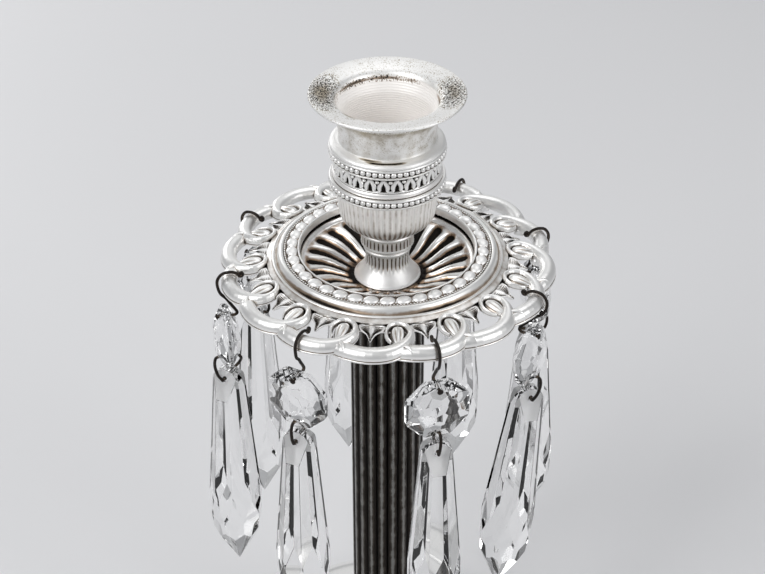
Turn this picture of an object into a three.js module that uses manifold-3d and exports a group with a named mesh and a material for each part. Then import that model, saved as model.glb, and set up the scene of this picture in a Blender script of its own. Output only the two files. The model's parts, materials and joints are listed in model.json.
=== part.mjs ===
// A silver-plated candlestick hung with cut crystal drops, in millimetres, +Z up.
// The origin is the centre of the foot, on the table. Angles run from the front (-Y)
// towards +X, as seen from above. One long rod clamps the stack of turned pieces
// together, and eight wire hooks carry the drops on the scroll border of the drip pan.
import * as THREE from 'three';
import { mergeVertices } from 'three/addons/utils/BufferGeometryUtils.js';
import Module from 'manifold-3d';

const wasm = await Module();
wasm.setup();

// Driving dimensions: fits
const SLIP = 0.3; // gap between pieces that nest, hang or slide
const SOLDER = 0.02; // the film of solder under a seated rim

// Sides of the round forms
const WIDE_SIDES = 32; // foot, rim and border
const CUP_SIDES = 24;
const SLIM_SIDES = 20;

// Driving dimensions: base and column
const FELT_THICKNESS = 0.8;
const PLATE_THICKNESS = 1.2;
const FOOT_RADIUS = 44;
const FOOT_RING_WIDTH = 3.4;
const FOOT_RING_HEIGHT = 2.9;
const DOME_RISE = 21.3; // from the foot ring to the dome's flat top
const DOME_WALL = 1.1;
const DOME_TOP_RADIUS = 13;
const DOME_STEP_RADIUS = 26; // where the cove meets the outer ogee
const DOME_STEP_HEIGHT = 9.6; // of that step above the foot ring
const SOCKET_COLLAR_HEIGHT = 6;
const SOCKET_COLLAR_WALL = 1.6; // round the column's foot
const SOCKET_FLOOR = 1.5;
const COLUMN_RADIUS = 9.7; // to the tops of the reeds
const COLUMN_WALL = 1.7;
const COLUMN_LENGTH = 107.7;
const REED_COUNT = 20;
const REED_DEPTH = 0.75;
const CAPITAL_HEIGHT = 8.6;
const CAPITAL_SOCKET = 3; // how deep the column's head sits in the capital
const CAPITAL_WALL = 1;
const CAPITAL_BOSS = 1.3; // height of the seat that carries the pan's hub
const CAPITAL_FLARE = 2.4; // how far the capital's top stands out from its neck

// Driving dimensions: the rod and what it clamps
const ROD_RADIUS = 3;
const NUT_ACROSS = 10; // across the flats
const NUT_HEIGHT = 3.5;
const WASHER_RADIUS = 10;
const WASHER_THICKNESS = 1.4;
const ROD_END = 1.2; // thread that stands past each nut

// Driving dimensions: drip pan and its rim
const PAN_THICKNESS = 0.8;
const HUB_RADIUS = 9.5;
const WELL_RADIUS = 21.2; // inside the rim
const WELL_RISE = 6.4; // from the hub to the pan's lip
const WELL_WALL = 1.9; // height of the quarter-round wall inside the rim
const FLUTE_COUNT = 24;
const FLUTE_DEPTH = 0.75;
const FLUTE_END = 0.94; // where the flutes end, as a share of the well's width
const FLUTE_SWIRL = 4; // degrees that their outer ends are turned ahead
const PAN_LIP_WIDTH = 3.4; // the flat lip that the rim is seated on
const RIM_BAND_WIDTH = 2.8; // channel for the gadroon ring
const RIM_MOULDING_WIDTH = 2.7; // the convex band outside the channel
const RIM_EDGE_WIDTH = 2.4; // the sloping edge outside that
const RIM_HEIGHT = 2; // of the rim's inner edge above the pan's lip
const GADROON_COUNT = 40;
const GADROON_HEIGHT = 1.2;
const GADROON_SLANT = 5; // degrees between the inner and outer end of a lobe

// Driving dimensions: the scroll border
const LINK_COUNT = 16;
const LINK_PHASE = 4.1; // degrees from the front to the first volute
const ARM_REACH = 9.9; // from the rim's edge out to the middle of the arms
const ARM_HALF_WIDTH = 2.1;
const ARM_HALF_HEIGHT = 1.8;
const ARM_DROP = 1.9; // from the rim's edge down to the middle of the arms
const BORDER_RING_WIDTH = 4.2;
const BORDER_RING_PROUD = 1.4; // how far it stands out from the rim
const BORDER_RING_THICKNESS = 1.2;
const LEAF_LENGTH = 4.4; // from the ring to the leaf's middle point

// Driving dimensions: the candle cup
const CUP_FOOT_HEIGHT = 6.9;
const CUP_FOOT_RADIUS = 8.4;
const CUP_FOOT_WAIST = 0.74; // of its height, up to the neck
const CUP_NECK_RADIUS = 5.4;
const RIBBED_COLLAR_HEIGHT = 3.5;
const RIBBED_COLLAR_RADIUS = 6.9;
const RIB_COUNT = 24;
const RIB_DEPTH = 0.35;
const BOWL_HEIGHT = 16.5;
const BOWL_WALL = 1.1;
const BOWL_FLOOR = 1.5;
const BOWL_FOOT_RADIUS = 7.4;
const BOWL_FLUTE_COUNT = 40;
const BOWL_FLUTE_DEPTH = 0.3;
const BEAD_RING_HEIGHT = 2.6;
const BEAD_RING_PROUD = 1.5; // how far the beads stand out from the bowl
const LEDGE_HEIGHT = 1.6;
const LEDGE_PROUD = 0.6;
const FRIEZE_HEIGHT = 4.1;
const FRIEZE_PROUD = 0.3;
const BORE_RADIUS = 11; // a 22 mm taper candle
const BORE_DEPTH = 24;
const TUBE_WALL = 0.5;
const CUP_WALL = 1.2; // round the candle tube, behind the trims
const SPIGOT_WALL = 0.8;
const LIP_HEIGHT = 13.6; // from the shoulder's edge to the rim's top
const LIP_WALL = 0.9;
const LIP_RADIUS = 19;
const LIP_ROLL = 0.45; // radius of the rolled edge
const LIP_DISH = 0.4; // how far the flange falls from its edge to the funnel
const FUNNEL_RADIUS = 12.5;
const FUNNEL_DEPTH = 6.5; // from the lip's top to the straight bore
const SHOULDER_DROP = 2.3; // from the neck's foot to the shoulder's edge

// Driving dimensions: the crystal strands
const STRAND_SEAT = 10.2; // degrees from a hook back to its link's volute
const WIRE_RADIUS = 0.4;
const HOOK_DROP = 10.3; // from the arm's middle to the octagon's upper hole
const OCTAGON_HALF_WIDTH = 8;
const OCTAGON_HALF_THICKNESS = 3.25;
const OCTAGON_TABLE = 3.6; // half width of the flat table
const OCTAGON_GIRDLE = 0.6; // half thickness at the edge
const HOLE_RADIUS = 0.75;
const HOLE_EDGE = 1.8; // from an octagon's flat to the middle of its hole
const LINK_DROP = 5.9; // from the octagon's lower hole to the prism's hole
const PRISM_LENGTH = 65;
const PRISM_WIDEST = 43; // depth of the widest place below the tab's top
const PRISM_POINT = 13; // height of the pointed end
const PRISM_HEAD_HALF_WIDTH = 3.6;
const PRISM_HALF_WIDTH = 6.7;
const PRISM_CORNER_CUT = 1.085; // reach of the steep facets at the widest place
const PRISM_STEEP_RISE = 6; // how far above that place they start
const PRISM_STEEP_FALL = 0.085; // how fast they close in
const PRISM_POINT_SHARE = 0.93; // of the half width, where the point begins
const TAB_HALF_THICKNESS = 1.5; // at the top
const TAB_SLOPE = 15; // degrees that the tab's flats lean out
const TAB_HOLE_DEPTH = 2.3;

// How the drops hang in the photograph. Slide is each hook's place along its arm from the
// usual seat, turn the prism's about the vertical and lean the prism's about its own hole,
// in degrees. Out and along tell how far a bent hook carries its octagon from the arm.
const STRANDS = [
  { name: 'a', slide: -1.5, turn: 6, lean: 0, out: 0.6, along: -1.2 },
  { name: 'b', slide: 0, turn: -8, lean: 0, out: 0.4, along: 0.4 },
  { name: 'c', slide: 2.5, turn: -45, lean: 6, out: -0.8, along: 0 },
  { name: 'd', slide: 0, turn: -15, lean: 0, out: 0, along: 0 },
  { name: 'e', slide: 0, turn: 10, lean: 0, out: 0, along: 0 },
  { name: 'f', slide: 0, turn: -5, lean: 0, out: 0, along: 0 },
  { name: 'g', slide: 0, turn: 20, lean: 0, out: 0, along: 0 },
  { name: 'h', slide: -3.5, turn: 52, lean: 0, out: 1.4, along: 0 },
];

// Heights of the stack, from the table up
const plateTop = FELT_THICKNESS + PLATE_THICKNESS;
const footRingTop = FELT_THICKNESS + FOOT_RING_HEIGHT;
const domeTop = footRingTop + DOME_RISE;
const columnFoot = domeTop + SOCKET_FLOOR;
const columnHead = columnFoot + COLUMN_LENGTH;
const capitalFoot = columnHead - CAPITAL_SOCKET;
const panFoot = capitalFoot + CAPITAL_HEIGHT;
const hubTop = panFoot + PAN_THICKNESS;
const panLipTop = hubTop + WELL_RISE;
const rimTop = panLipTop + RIM_HEIGHT;
const rimEdge = panLipTop - 1;
const rimFoot = rimEdge - 0.8;
const armHeight = rimEdge - ARM_DROP;
const ribbedCollarFoot = hubTop + CUP_FOOT_HEIGHT;
const bowlFoot = ribbedCollarFoot + RIBBED_COLLAR_HEIGHT;
const lowerBeadFoot = bowlFoot + BOWL_HEIGHT;
const ledgeFoot = lowerBeadFoot + BEAD_RING_HEIGHT;
const friezeFoot = ledgeFoot + LEDGE_HEIGHT;
const upperBeadFoot = friezeFoot + FRIEZE_HEIGHT;
const lipFoot = upperBeadFoot + BEAD_RING_HEIGHT;
const lipTop = lipFoot + LIP_HEIGHT;

// Radii that pieces share
const rodHole = ROD_RADIUS + SLIP;
const columnSocket = COLUMN_RADIUS + SLIP;
const tubeRadius = BORE_RADIUS + TUBE_WALL;
const cupBore = tubeRadius + SLIP;
const drumRadius = cupBore + CUP_WALL; // the bowl's top, and the body of the trims
const spigot = cupBore + SPIGOT_WALL; // the bowl's top inside the lower bead ring
const panLipRadius = WELL_RADIUS + PAN_LIP_WIDTH;
const rimOpening = WELL_RADIUS + 0.7;
const channelIn = rimOpening + 0.6;
const channelOut = channelIn + RIM_BAND_WIDTH;
const mouldingEdge = channelOut + RIM_MOULDING_WIDTH;
const rimRadius = mouldingEdge + RIM_EDGE_WIDTH;
const borderRingRadius = rimRadius + BORDER_RING_PROUD;
const armRadius = rimRadius + ARM_REACH;
const strandStep = 360 / STRANDS.length;
const linkStep = 360 / LINK_COUNT;

const metals = {
  plate: { color: 0xc9c7c0, roughness: 0.24, metalness: 1 },
  dark: { color: 0x35322e, roughness: 0.45, metalness: 1 },
  steel: { color: 0x8c8d90, roughness: 0.4, metalness: 1 },
};
const glassLook = { color: 0xf4f7f8, roughness: 0.02, metalness: 0 };
const feltLook = { color: 0x23372c, roughness: 0.95, metalness: 0 };

const candlestick = new THREE.Group();

const radians = THREE.MathUtils.degToRad;

// Merges shared vertices, drops the flat triangles left at the axis, faces the rest out
function weld(source) {
  const bare = source.index ? source.toNonIndexed() : source.clone();
  bare.deleteAttribute('normal');
  bare.deleteAttribute('uv');
  const merged = mergeVertices(bare, 1e-4);
  const index = merged.index.array;
  const at = merged.attributes.position;
  const kept = [];
  const [a, b, c] = [new THREE.Vector3(), new THREE.Vector3(), new THREE.Vector3()];
  let volume = 0;
  for (let i = 0; i < index.length; i += 3) {
    const [p, q, r] = index.slice(i, i + 3);
    if (p === q || q === r || r === p) continue;
    kept.push(p, q, r);
    a.fromBufferAttribute(at, p);
    b.fromBufferAttribute(at, q);
    c.fromBufferAttribute(at, r);
    volume += a.dot(b.cross(c));
  }
  merged.setIndex(volume < 0 ? kept.reverse() : kept);
  return merged;
}

function toSolid(geometry) {
  const closed = weld(geometry);
  return new wasm.Manifold(new wasm.Mesh({
    numProp: 3,
    vertProperties: new Float32Array(closed.attributes.position.array),
    triVerts: new Uint32Array(closed.index.array),
  }));
}

// Back to a geometry, without the needless edges that cuts leave across flat faces
function fromSolid(solid) {
  const mesh = solid.asOriginal().simplify(0.002).getMesh();
  const geometry = new THREE.BufferGeometry();
  geometry.setAttribute('position', new THREE.BufferAttribute(mesh.vertProperties, 3));
  geometry.setIndex(new THREE.BufferAttribute(mesh.triVerts, 1));
  return geometry;
}

// A turned form: the profile's points are [radius, height]
function turned(profile, segments) {
  const points = profile.map(([radius, height]) => new THREE.Vector2(radius, height));
  return new THREE.LatheGeometry(points, segments).rotateX(Math.PI / 2);
}

// The same with a closed profile, so that the turned form is a ring
const ring = (profile, segments) => turned([...profile, profile[0]], segments);

// Moves each vertex by a rule on its angle, radius and height. The rule gives the new
// radius and height, and how far the vertex turns.
function reshape(geometry, rule) {
  const at = geometry.attributes.position;
  for (let i = 0; i < at.count; i += 1) {
    const radius = Math.hypot(at.getX(i), at.getY(i));
    const angle = Math.atan2(at.getX(i), -at.getY(i));
    const [newRadius, newHeight, turn = 0] = rule(angle, radius, at.getZ(i));
    const newAngle = angle + turn;
    at.setXYZ(i, newRadius * Math.sin(newAngle), -newRadius * Math.cos(newAngle), newHeight);
  }
  return geometry;
}

// A solid through a row of rings of points, with its two ends closed by fans
function loft(rings) {
  const size = rings[0].length;
  const points = rings.flat();
  const index = [];
  for (let k = 0; k + 1 < rings.length; k += 1) {
    for (let i = 0; i < size; i += 1) {
      const [p, q] = [k * size + i, k * size + ((i + 1) % size)];
      index.push(p, q, q + size, p, q + size, p + size);
    }
  }
  const last = (rings.length - 1) * size;
  for (let i = 1; i + 1 < size; i += 1) {
    index.push(0, i + 1, i, last, last + i, last + i + 1);
  }
  const geometry = new THREE.BufferGeometry().setFromPoints(points);
  return geometry.setIndex(index);
}

// A wire along a smooth curve through the points, with five sides
function wire(points, steps) {
  const corners = Array.from({ length: 5 }, (_, i) => (
    new THREE.Vector2(WIRE_RADIUS, 0).rotateAround(new THREE.Vector2(), (2 * Math.PI * i) / 5)
  ));
  const curve = new THREE.CatmullRomCurve3(points, false, 'centripetal');
  return new THREE.ExtrudeGeometry(new THREE.Shape(corners), { steps, extrudePath: curve });
}

function add(name, geometry, look, parent = candlestick) {
  const mesh = new THREE.Mesh(weld(geometry), new THREE.MeshStandardMaterial(look));
  mesh.name = name;
  parent.add(mesh);
  return mesh;
}

// The foot: a felt disc, a closing plate, a moulded ring and the spun dome on it
function buildBase() {
  const ringInner = FOOT_RADIUS - FOOT_RING_WIDTH;
  const feltRadius = FOOT_RADIUS - FOOT_RING_WIDTH / 3;
  add('felt_pad', turned([
    [0, 0], [feltRadius, 0], [feltRadius, FELT_THICKNESS], [0, FELT_THICKNESS],
  ], WIDE_SIDES), feltLook);
  const plateRadius = ringInner - SLIP;
  add('base_plate', turned([
    [0, FELT_THICKNESS], [plateRadius, FELT_THICKNESS], [plateRadius, plateTop], [0, plateTop],
  ], WIDE_SIDES), metals.steel);
  const waist = FELT_THICKNESS + FOOT_RING_HEIGHT / 2;
  add('foot_ring', ring([
    [ringInner, FELT_THICKNESS], [FOOT_RADIUS - 0.5, FELT_THICKNESS], [FOOT_RADIUS, waist],
    [FOOT_RADIUS - 0.9, footRingTop], [ringInner, footRingTop],
  ], WIDE_SIDES), metals.plate);

  const outside = domeProfile(0);
  const inside = domeProfile(DOME_WALL).reverse();
  add('base_dome', ring([
    [rodHole, domeTop], ...outside, ...inside, [rodHole, domeTop - DOME_WALL],
  ], CUP_SIDES), metals.plate);
}

// The dome's half outline from its flat top to its edge, set in by a wall
function domeProfile(wall) {
  const edge = FOOT_RADIUS - 1.4;
  const stepHeight = footRingTop + DOME_STEP_HEIGHT;
  const cove = new THREE.QuadraticBezierCurve(
    new THREE.Vector2(DOME_TOP_RADIUS, domeTop - 1.4),
    new THREE.Vector2(DOME_TOP_RADIUS + 1, stepHeight + 1.4),
    new THREE.Vector2(DOME_STEP_RADIUS - 1, stepHeight),
  );
  const ogee = new THREE.QuadraticBezierCurve(
    new THREE.Vector2(DOME_STEP_RADIUS, stepHeight - 0.9),
    new THREE.Vector2(edge - 4, stepHeight - 1),
    new THREE.Vector2(edge - 0.6, footRingTop + DOME_WALL),
  );
  const profile = [
    new THREE.Vector2(DOME_TOP_RADIUS, domeTop), ...cove.getPoints(3),
    ...ogee.getPoints(wall > 0 ? 2 : 3),
  ].map(({ x, y }) => [x - wall, y - wall]);
  return wall > 0 ? [...profile, [edge - DOME_WALL, footRingTop]]
    : [...profile, [edge, footRingTop]];
}

// The reeded column between its base collar and its capital
function buildColumn() {
  const collarBody = columnSocket + SOCKET_COLLAR_WALL;
  const collarTop = domeTop + SOCKET_COLLAR_HEIGHT;
  add('socket_collar', ring([
    [rodHole, domeTop], [collarBody + 0.6, domeTop], [collarBody + 1, domeTop + 1.4],
    [collarBody, domeTop + 2.4], [collarBody - 0.3, collarTop - 1.2],
    [collarBody - 0.2, collarTop], [columnSocket, collarTop], [columnSocket, columnFoot],
    [rodHole, columnFoot],
  ], SLIM_SIDES), metals.plate);

  const section = new THREE.Shape();
  const samples = 3 * REED_COUNT;
  for (let i = 0; i < samples; i += 1) {
    const angle = (2 * Math.PI * i) / samples;
    const radius = COLUMN_RADIUS - (i % 3 === 0 ? REED_DEPTH : 0);
    const [x, y] = [radius * Math.cos(angle), radius * Math.sin(angle)];
    if (i === 0) section.moveTo(x, y);
    else section.lineTo(x, y);
  }
  const bore = new THREE.Path();
  bore.absarc(0, 0, COLUMN_RADIUS - COLUMN_WALL, 0, 2 * Math.PI, true);
  section.holes.push(bore);
  const tube = new THREE.ExtrudeGeometry(section, {
    depth: COLUMN_LENGTH, bevelEnabled: false, curveSegments: 8,
  });
  add('column', tube.translate(0, 0, columnFoot), metals.plate);

  const neck = columnSocket + CAPITAL_WALL;
  const bossFoot = panFoot - CAPITAL_BOSS;
  add('capital', ring([
    [rodHole, columnHead], [columnSocket, columnHead], [columnSocket, capitalFoot],
    [neck, capitalFoot], [neck + 0.4, capitalFoot + 0.8], [neck, capitalFoot + 1.6],
    [neck + CAPITAL_FLARE * 0.4, bossFoot - 2], [neck + CAPITAL_FLARE, bossFoot - 0.8],
    [neck + CAPITAL_FLARE, bossFoot], [HUB_RADIUS - SLIP, bossFoot],
    [HUB_RADIUS - SLIP, panFoot], [rodHole, panFoot],
  ], SLIM_SIDES), metals.plate);
}

// A hexagon nut with its bore, standing on the given height
function nut(foot) {
  const corner = NUT_ACROSS / Math.cos(Math.PI / 6) / 2;
  const block = new THREE.CylinderGeometry(corner, corner, NUT_HEIGHT, 6);
  const bore = new THREE.CylinderGeometry(rodHole, rodHole, NUT_HEIGHT + 2, 12);
  const [solid, hole] = [block, bore].map((shape) => (
    toSolid(shape.rotateX(Math.PI / 2).translate(0, 0, foot + NUT_HEIGHT / 2))
  ));
  return fromSolid(solid.subtract(hole));
}

// The rod runs from under the dome's top to a nut in the cup's bowl
function buildRod() {
  const washerTop = domeTop - DOME_WALL;
  const washerFoot = washerTop - WASHER_THICKNESS;
  add('clamp_washer', ring([
    [rodHole, washerFoot], [WASHER_RADIUS, washerFoot],
    [WASHER_RADIUS, washerTop], [rodHole, washerTop],
  ], 16), metals.steel);
  add('base_nut', nut(washerFoot - NUT_HEIGHT), metals.steel);
  const bowlFloorTop = bowlFoot + BOWL_FLOOR;
  add('cup_nut', nut(bowlFloorTop), metals.steel);
  const foot = washerFoot - NUT_HEIGHT - ROD_END;
  const head = bowlFloorTop + NUT_HEIGHT + ROD_END;
  add('tie_rod', turned([
    [0, foot], [ROD_RADIUS - 0.6, foot], [ROD_RADIUS, foot + 0.8],
    [ROD_RADIUS, head - 0.8], [ROD_RADIUS - 0.6, head], [0, head],
  ], 12), metals.steel);
}

// How far out a radius lies in the well, as a share from the hub to the rim
const wellShare = (radius) => (
  THREE.MathUtils.clamp((radius - HUB_RADIUS) / (WELL_RADIUS - HUB_RADIUS), 0, 1)
);

// How far a flute lifts the sheet, which is nothing at its ends and most in the middle,
// and how far it is turned ahead there
function flutePress(angle, radius) {
  const share = wellShare(radius);
  const along = Math.min(share / FLUTE_END, 1);
  const fade = Math.sqrt(Math.sin(Math.PI * along));
  const turn = radians(FLUTE_SWIRL) * THREE.MathUtils.smoothstep(share, 0, 1);
  return { lift: FLUTE_DEPTH * fade * Math.cos(FLUTE_COUNT * angle), turn };
}

// The drip pan: a pressed sheet that rises evenly to a steep wall, with swirling flutes
// and a flat lip under the rim
function buildPan() {
  const span = WELL_RADIUS - HUB_RADIUS;
  const slopeTop = panLipTop - WELL_WALL;
  const slope = [0, 0.28, 0.7, FLUTE_END].map((share) => (
    [HUB_RADIUS + share * span, hubTop + (share / FLUTE_END) * (slopeTop - hubTop)]
  ));
  const top = [...slope, [WELL_RADIUS + 0.2, slopeTop + 0.7 * WELL_WALL]];
  const under = top.map(([radius, height]) => [radius, height - PAN_THICKNESS]).reverse();
  const sheet = ring([
    [rodHole, hubTop], ...top, [WELL_RADIUS + 0.4, panLipTop], [panLipRadius, panLipTop],
    [panLipRadius, panLipTop - PAN_THICKNESS], ...under, [rodHole, panFoot],
  ], 2 * FLUTE_COUNT);
  add('drip_pan', reshape(sheet, (angle, radius, height) => {
    const { lift, turn } = flutePress(angle, radius);
    return [radius, height + lift, turn];
  }), metals.plate);
}

// The rim moulding on the pan's lip, and the gadroon ring in its channel
function buildRim() {
  const channelFloor = panLipTop + 0.9;
  const skirt = panLipRadius + SLIP;
  const seat = panLipTop + SOLDER;
  add('rim_moulding', ring([
    [rimOpening, seat], [rimOpening, rimTop - 0.2], [channelIn, rimTop],
    [channelIn, channelFloor], [channelOut, channelFloor], [channelOut + 0.2, rimTop - 0.7],
    [channelOut + RIM_MOULDING_WIDTH / 2, rimTop - 0.5], [mouldingEdge, rimEdge + 0.8],
    [mouldingEdge + RIM_EDGE_WIDTH / 3, rimEdge + 0.9], [rimRadius, rimEdge],
    [rimRadius - 0.4, rimFoot], [skirt, rimFoot], [skirt, seat],
  ], WIDE_SIDES), metals.plate);

  const [inner, outer] = [channelIn + 0.1, channelOut - 0.1];
  const middle = (inner + outer) / 2;
  const lobes = ring([
    [inner, channelFloor], [middle, channelFloor + GADROON_HEIGHT], [outer, channelFloor],
  ], 2 * GADROON_COUNT);
  const slant = radians(GADROON_SLANT) / (outer - inner);
  add('gadroon_ring', reshape(lobes, (angle, radius, height) => {
    const wave = 0.5 + 0.5 * Math.cos(GADROON_COUNT * angle);
    const lift = height - channelFloor;
    return [radius, channelFloor + lift * (0.45 + 0.55 * wave), slant * (middle - radius)];
  }), metals.plate);
}

// One link of the scroll border, as stations along its middle line. Each gives the angle as
// a share of the link step from the volute, the step in from the arms' middle as a share of
// their reach, the lift as a share of their half height, and the shares of width and height.
const LINK_STATIONS = [
  [-1.04, 0.1, -0.35, 0.85, 0.75],
  [-0.76, 0.01, -0.05, 1, 1],
  [-0.44, 0, 0, 1, 1],
  [-0.12, 0.03, 0.05, 1, 1],
  [0.13, 0.2, 0.15, 0.95, 0.95],
  [0.26, 0.47, 0.35, 0.62, 0.85],
  [0.22, 0.75, 0.65, 0.42, 0.75],
  [0.04, 0.88, 0.95, 0.36, 0.65],
  [-0.12, 0.75, 0.9, 0.5, 0.65],
  [-0.1, 0.45, 0.6, 0.52, 0.55],
  [-0.05, 0.25, 0.35, 0.15, 0.25],
];

// The convex band: [across, up] as shares of the half width and half height
const BAND_SECTION = [
  [0.9, -0.8], [0.95, 0.35], [0, 1], [-0.95, 0.35], [-0.8, -0.8],
];

function stationPoint([share, stepIn, lift]) {
  const angle = radians(share * linkStep);
  const radius = armRadius - stepIn * ARM_REACH;
  const height = armHeight + lift * ARM_HALF_HEIGHT;
  return new THREE.Vector3(radius * Math.sin(angle), -radius * Math.cos(angle), height);
}

const linkCurve = new THREE.CatmullRomCurve3(LINK_STATIONS.map(stationPoint), false, 'centripetal');

function linkGeometry() {
  const spans = LINK_STATIONS.length - 1;
  const up = new THREE.Vector3(0, 0, 1);
  const rings = LINK_STATIONS.map(([, , , wide, high], i) => {
    const middle = linkCurve.getPoint(i / spans);
    const ahead = linkCurve.getTangent(i / spans).setZ(0).normalize();
    const across = new THREE.Vector3().crossVectors(ahead, up);
    return BAND_SECTION.map(([side, rise]) => middle.clone()
      .addScaledVector(across, side * wide * ARM_HALF_WIDTH)
      .addScaledVector(up, rise * high * ARM_HALF_HEIGHT));
  });
  return loft(rings);
}

// The leaf that stands out from the border's ring between two volutes, as a flat shape:
// [share of the link step, share of the leaf's length] round its three points
const LEAF_OUTLINE = [
  [-0.76, -0.2], [-0.58, 0.72], [-0.52, 0.25], [-0.44, 1], [-0.36, 0.25], [-0.3, 0.68], [-0.1, -0.2],
];

function leafGeometry() {
  const corners = LEAF_OUTLINE.map(([share, length]) => {
    const angle = radians(share * linkStep);
    const radius = borderRingRadius + length * LEAF_LENGTH;
    return new THREE.Vector2(radius * Math.sin(angle), -radius * Math.cos(angle));
  });
  const leaf = new THREE.ExtrudeGeometry(new THREE.Shape(corners), {
    depth: BORDER_RING_THICKNESS - 0.2, bevelEnabled: false,
  });
  return leaf.translate(0, 0, rimFoot - BORDER_RING_THICKNESS + 0.1);
}

// The border: sixteen interlocked scroll links with leaves between them, on one cast ring
function buildBorder() {
  const inner = borderRingRadius - BORDER_RING_WIDTH;
  const foot = rimFoot - BORDER_RING_THICKNESS;
  let border = toSolid(ring([
    [inner, foot], [borderRingRadius, foot], [borderRingRadius, rimFoot], [inner, rimFoot],
  ], 2 * LINK_COUNT));
  const pieces = [linkGeometry(), leafGeometry()];
  for (let k = 0; k < LINK_COUNT; k += 1) {
    const turn = radians(LINK_PHASE + k * linkStep);
    for (const piece of pieces) {
      border = border.add(toSolid(piece.clone().rotateZ(turn)));
    }
  }
  add('scroll_border', fromSolid(border), metals.plate);
}

// The cup's flared foot and the ribbed collar that joins it to the bowl
function buildCupFoot() {
  const waist = hubTop + CUP_FOOT_WAIST * CUP_FOOT_HEIGHT;
  add('cup_foot', ring([
    [rodHole, hubTop], [CUP_FOOT_RADIUS, hubTop], [CUP_FOOT_RADIUS - 0.4, hubTop + 0.7],
    [CUP_FOOT_RADIUS - 1.7, hubTop + 0.35 * CUP_FOOT_HEIGHT], [CUP_NECK_RADIUS, waist],
    [CUP_NECK_RADIUS + 0.2, ribbedCollarFoot], [rodHole, ribbedCollarFoot],
  ], SLIM_SIDES), metals.plate);

  const collar = turned([
    [0, ribbedCollarFoot], [CUP_NECK_RADIUS + 0.2, ribbedCollarFoot],
    [RIBBED_COLLAR_RADIUS, ribbedCollarFoot + 0.4 * RIBBED_COLLAR_HEIGHT],
    [RIBBED_COLLAR_RADIUS, ribbedCollarFoot + 0.8 * RIBBED_COLLAR_HEIGHT],
    [BOWL_FOOT_RADIUS - 0.9, bowlFoot], [0, bowlFoot],
  ], 2 * RIB_COUNT);
  reshape(collar, (angle, radius, height) => (
    [radius - (radius > rodHole ? RIB_DEPTH * (0.5 - 0.5 * Math.cos(RIB_COUNT * angle)) : 0), height]
  ));
  const hole = turned([
    [0, ribbedCollarFoot - 1], [rodHole, ribbedCollarFoot - 1], [rodHole, bowlFoot + 1],
    [0, bowlFoot + 1],
  ], 12);
  add('ribbed_collar', fromSolid(toSolid(collar).subtract(toSolid(hole))), metals.plate);
}

// The bowl's outside, from its foot up to the lower bead ring: a quarter-round belly
// that runs into a straight wall
function bowlRadius(height) {
  const rise = THREE.MathUtils.clamp((height - bowlFoot) / (0.75 * BOWL_HEIGHT), 0, 1);
  const belly = Math.sqrt(1 - (1 - rise) ** 2.2);
  return BOWL_FOOT_RADIUS + (drumRadius - BOWL_FOOT_RADIUS) * belly;
}

function buildBowl() {
  const shares = [0, 0.06, 0.26, 1];
  const outside = shares.map((share) => {
    const height = bowlFoot + share * BOWL_HEIGHT;
    return [bowlRadius(height), height];
  });
  const belly = turned([
    [0, bowlFoot], ...outside, [0, lowerBeadFoot],
  ], 2 * BOWL_FLUTE_COUNT);
  reshape(belly, (angle, radius, height) => {
    const depth = height > bowlFoot + 0.01 && radius > rodHole ? BOWL_FLUTE_DEPTH : 0;
    return [radius - depth * (0.5 - 0.5 * Math.cos(BOWL_FLUTE_COUNT * angle)), height];
  });
  const ledge = turned([
    [0, lowerBeadFoot - 1], [cupBore + 0.5, lowerBeadFoot - 1], [spigot, lowerBeadFoot],
    [spigot, ledgeFoot], [drumRadius + LEDGE_PROUD, ledgeFoot],
    [drumRadius + LEDGE_PROUD, friezeFoot], [0, friezeFoot],
  ], CUP_SIDES);
  const tubeFoot = lipTop - BORE_DEPTH - TUBE_WALL;
  const floor = bowlFoot + BOWL_FLOOR;
  const inside = [floor, bowlFoot + 0.35 * BOWL_HEIGHT, bowlFoot + 0.65 * BOWL_HEIGHT]
    .map((height) => [bowlRadius(height) - BOWL_WALL - BOWL_FLUTE_DEPTH, height]);
  const hollow = turned([
    [0, bowlFoot - 1], [rodHole, bowlFoot - 1], [rodHole, floor], ...inside,
    [cupBore, tubeFoot - SLIP], [cupBore, friezeFoot + 1], [0, friezeFoot + 1],
  ], CUP_SIDES);
  const bowl = toSolid(belly).add(toSolid(ledge)).subtract(toSolid(hollow));
  add('cup_bowl', fromSolid(bowl), metals.plate);
}

// A half-round trim ring round the cup
function beadRing(name, foot, inner) {
  const crest = drumRadius + BEAD_RING_PROUD;
  const top = foot + BEAD_RING_HEIGHT;
  const shy = 0.28 * BEAD_RING_HEIGHT;
  add(name, ring([
    [inner, foot], [crest - 0.7, foot], [crest, foot + shy],
    [crest, top - shy], [crest - 0.7, top], [inner, top],
  ], CUP_SIDES), metals.plate);
}

function buildTrims() {
  beadRing('lower_bead_ring', lowerBeadFoot, spigot + SLIP);
  beadRing('upper_bead_ring', upperBeadFoot, cupBore);
  const band = drumRadius + FRIEZE_PROUD;
  add('frieze_band', ring([
    [cupBore, friezeFoot], [band, friezeFoot], [band, upperBeadFoot], [cupBore, upperBeadFoot],
  ], CUP_SIDES), metals.plate);
}

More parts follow.
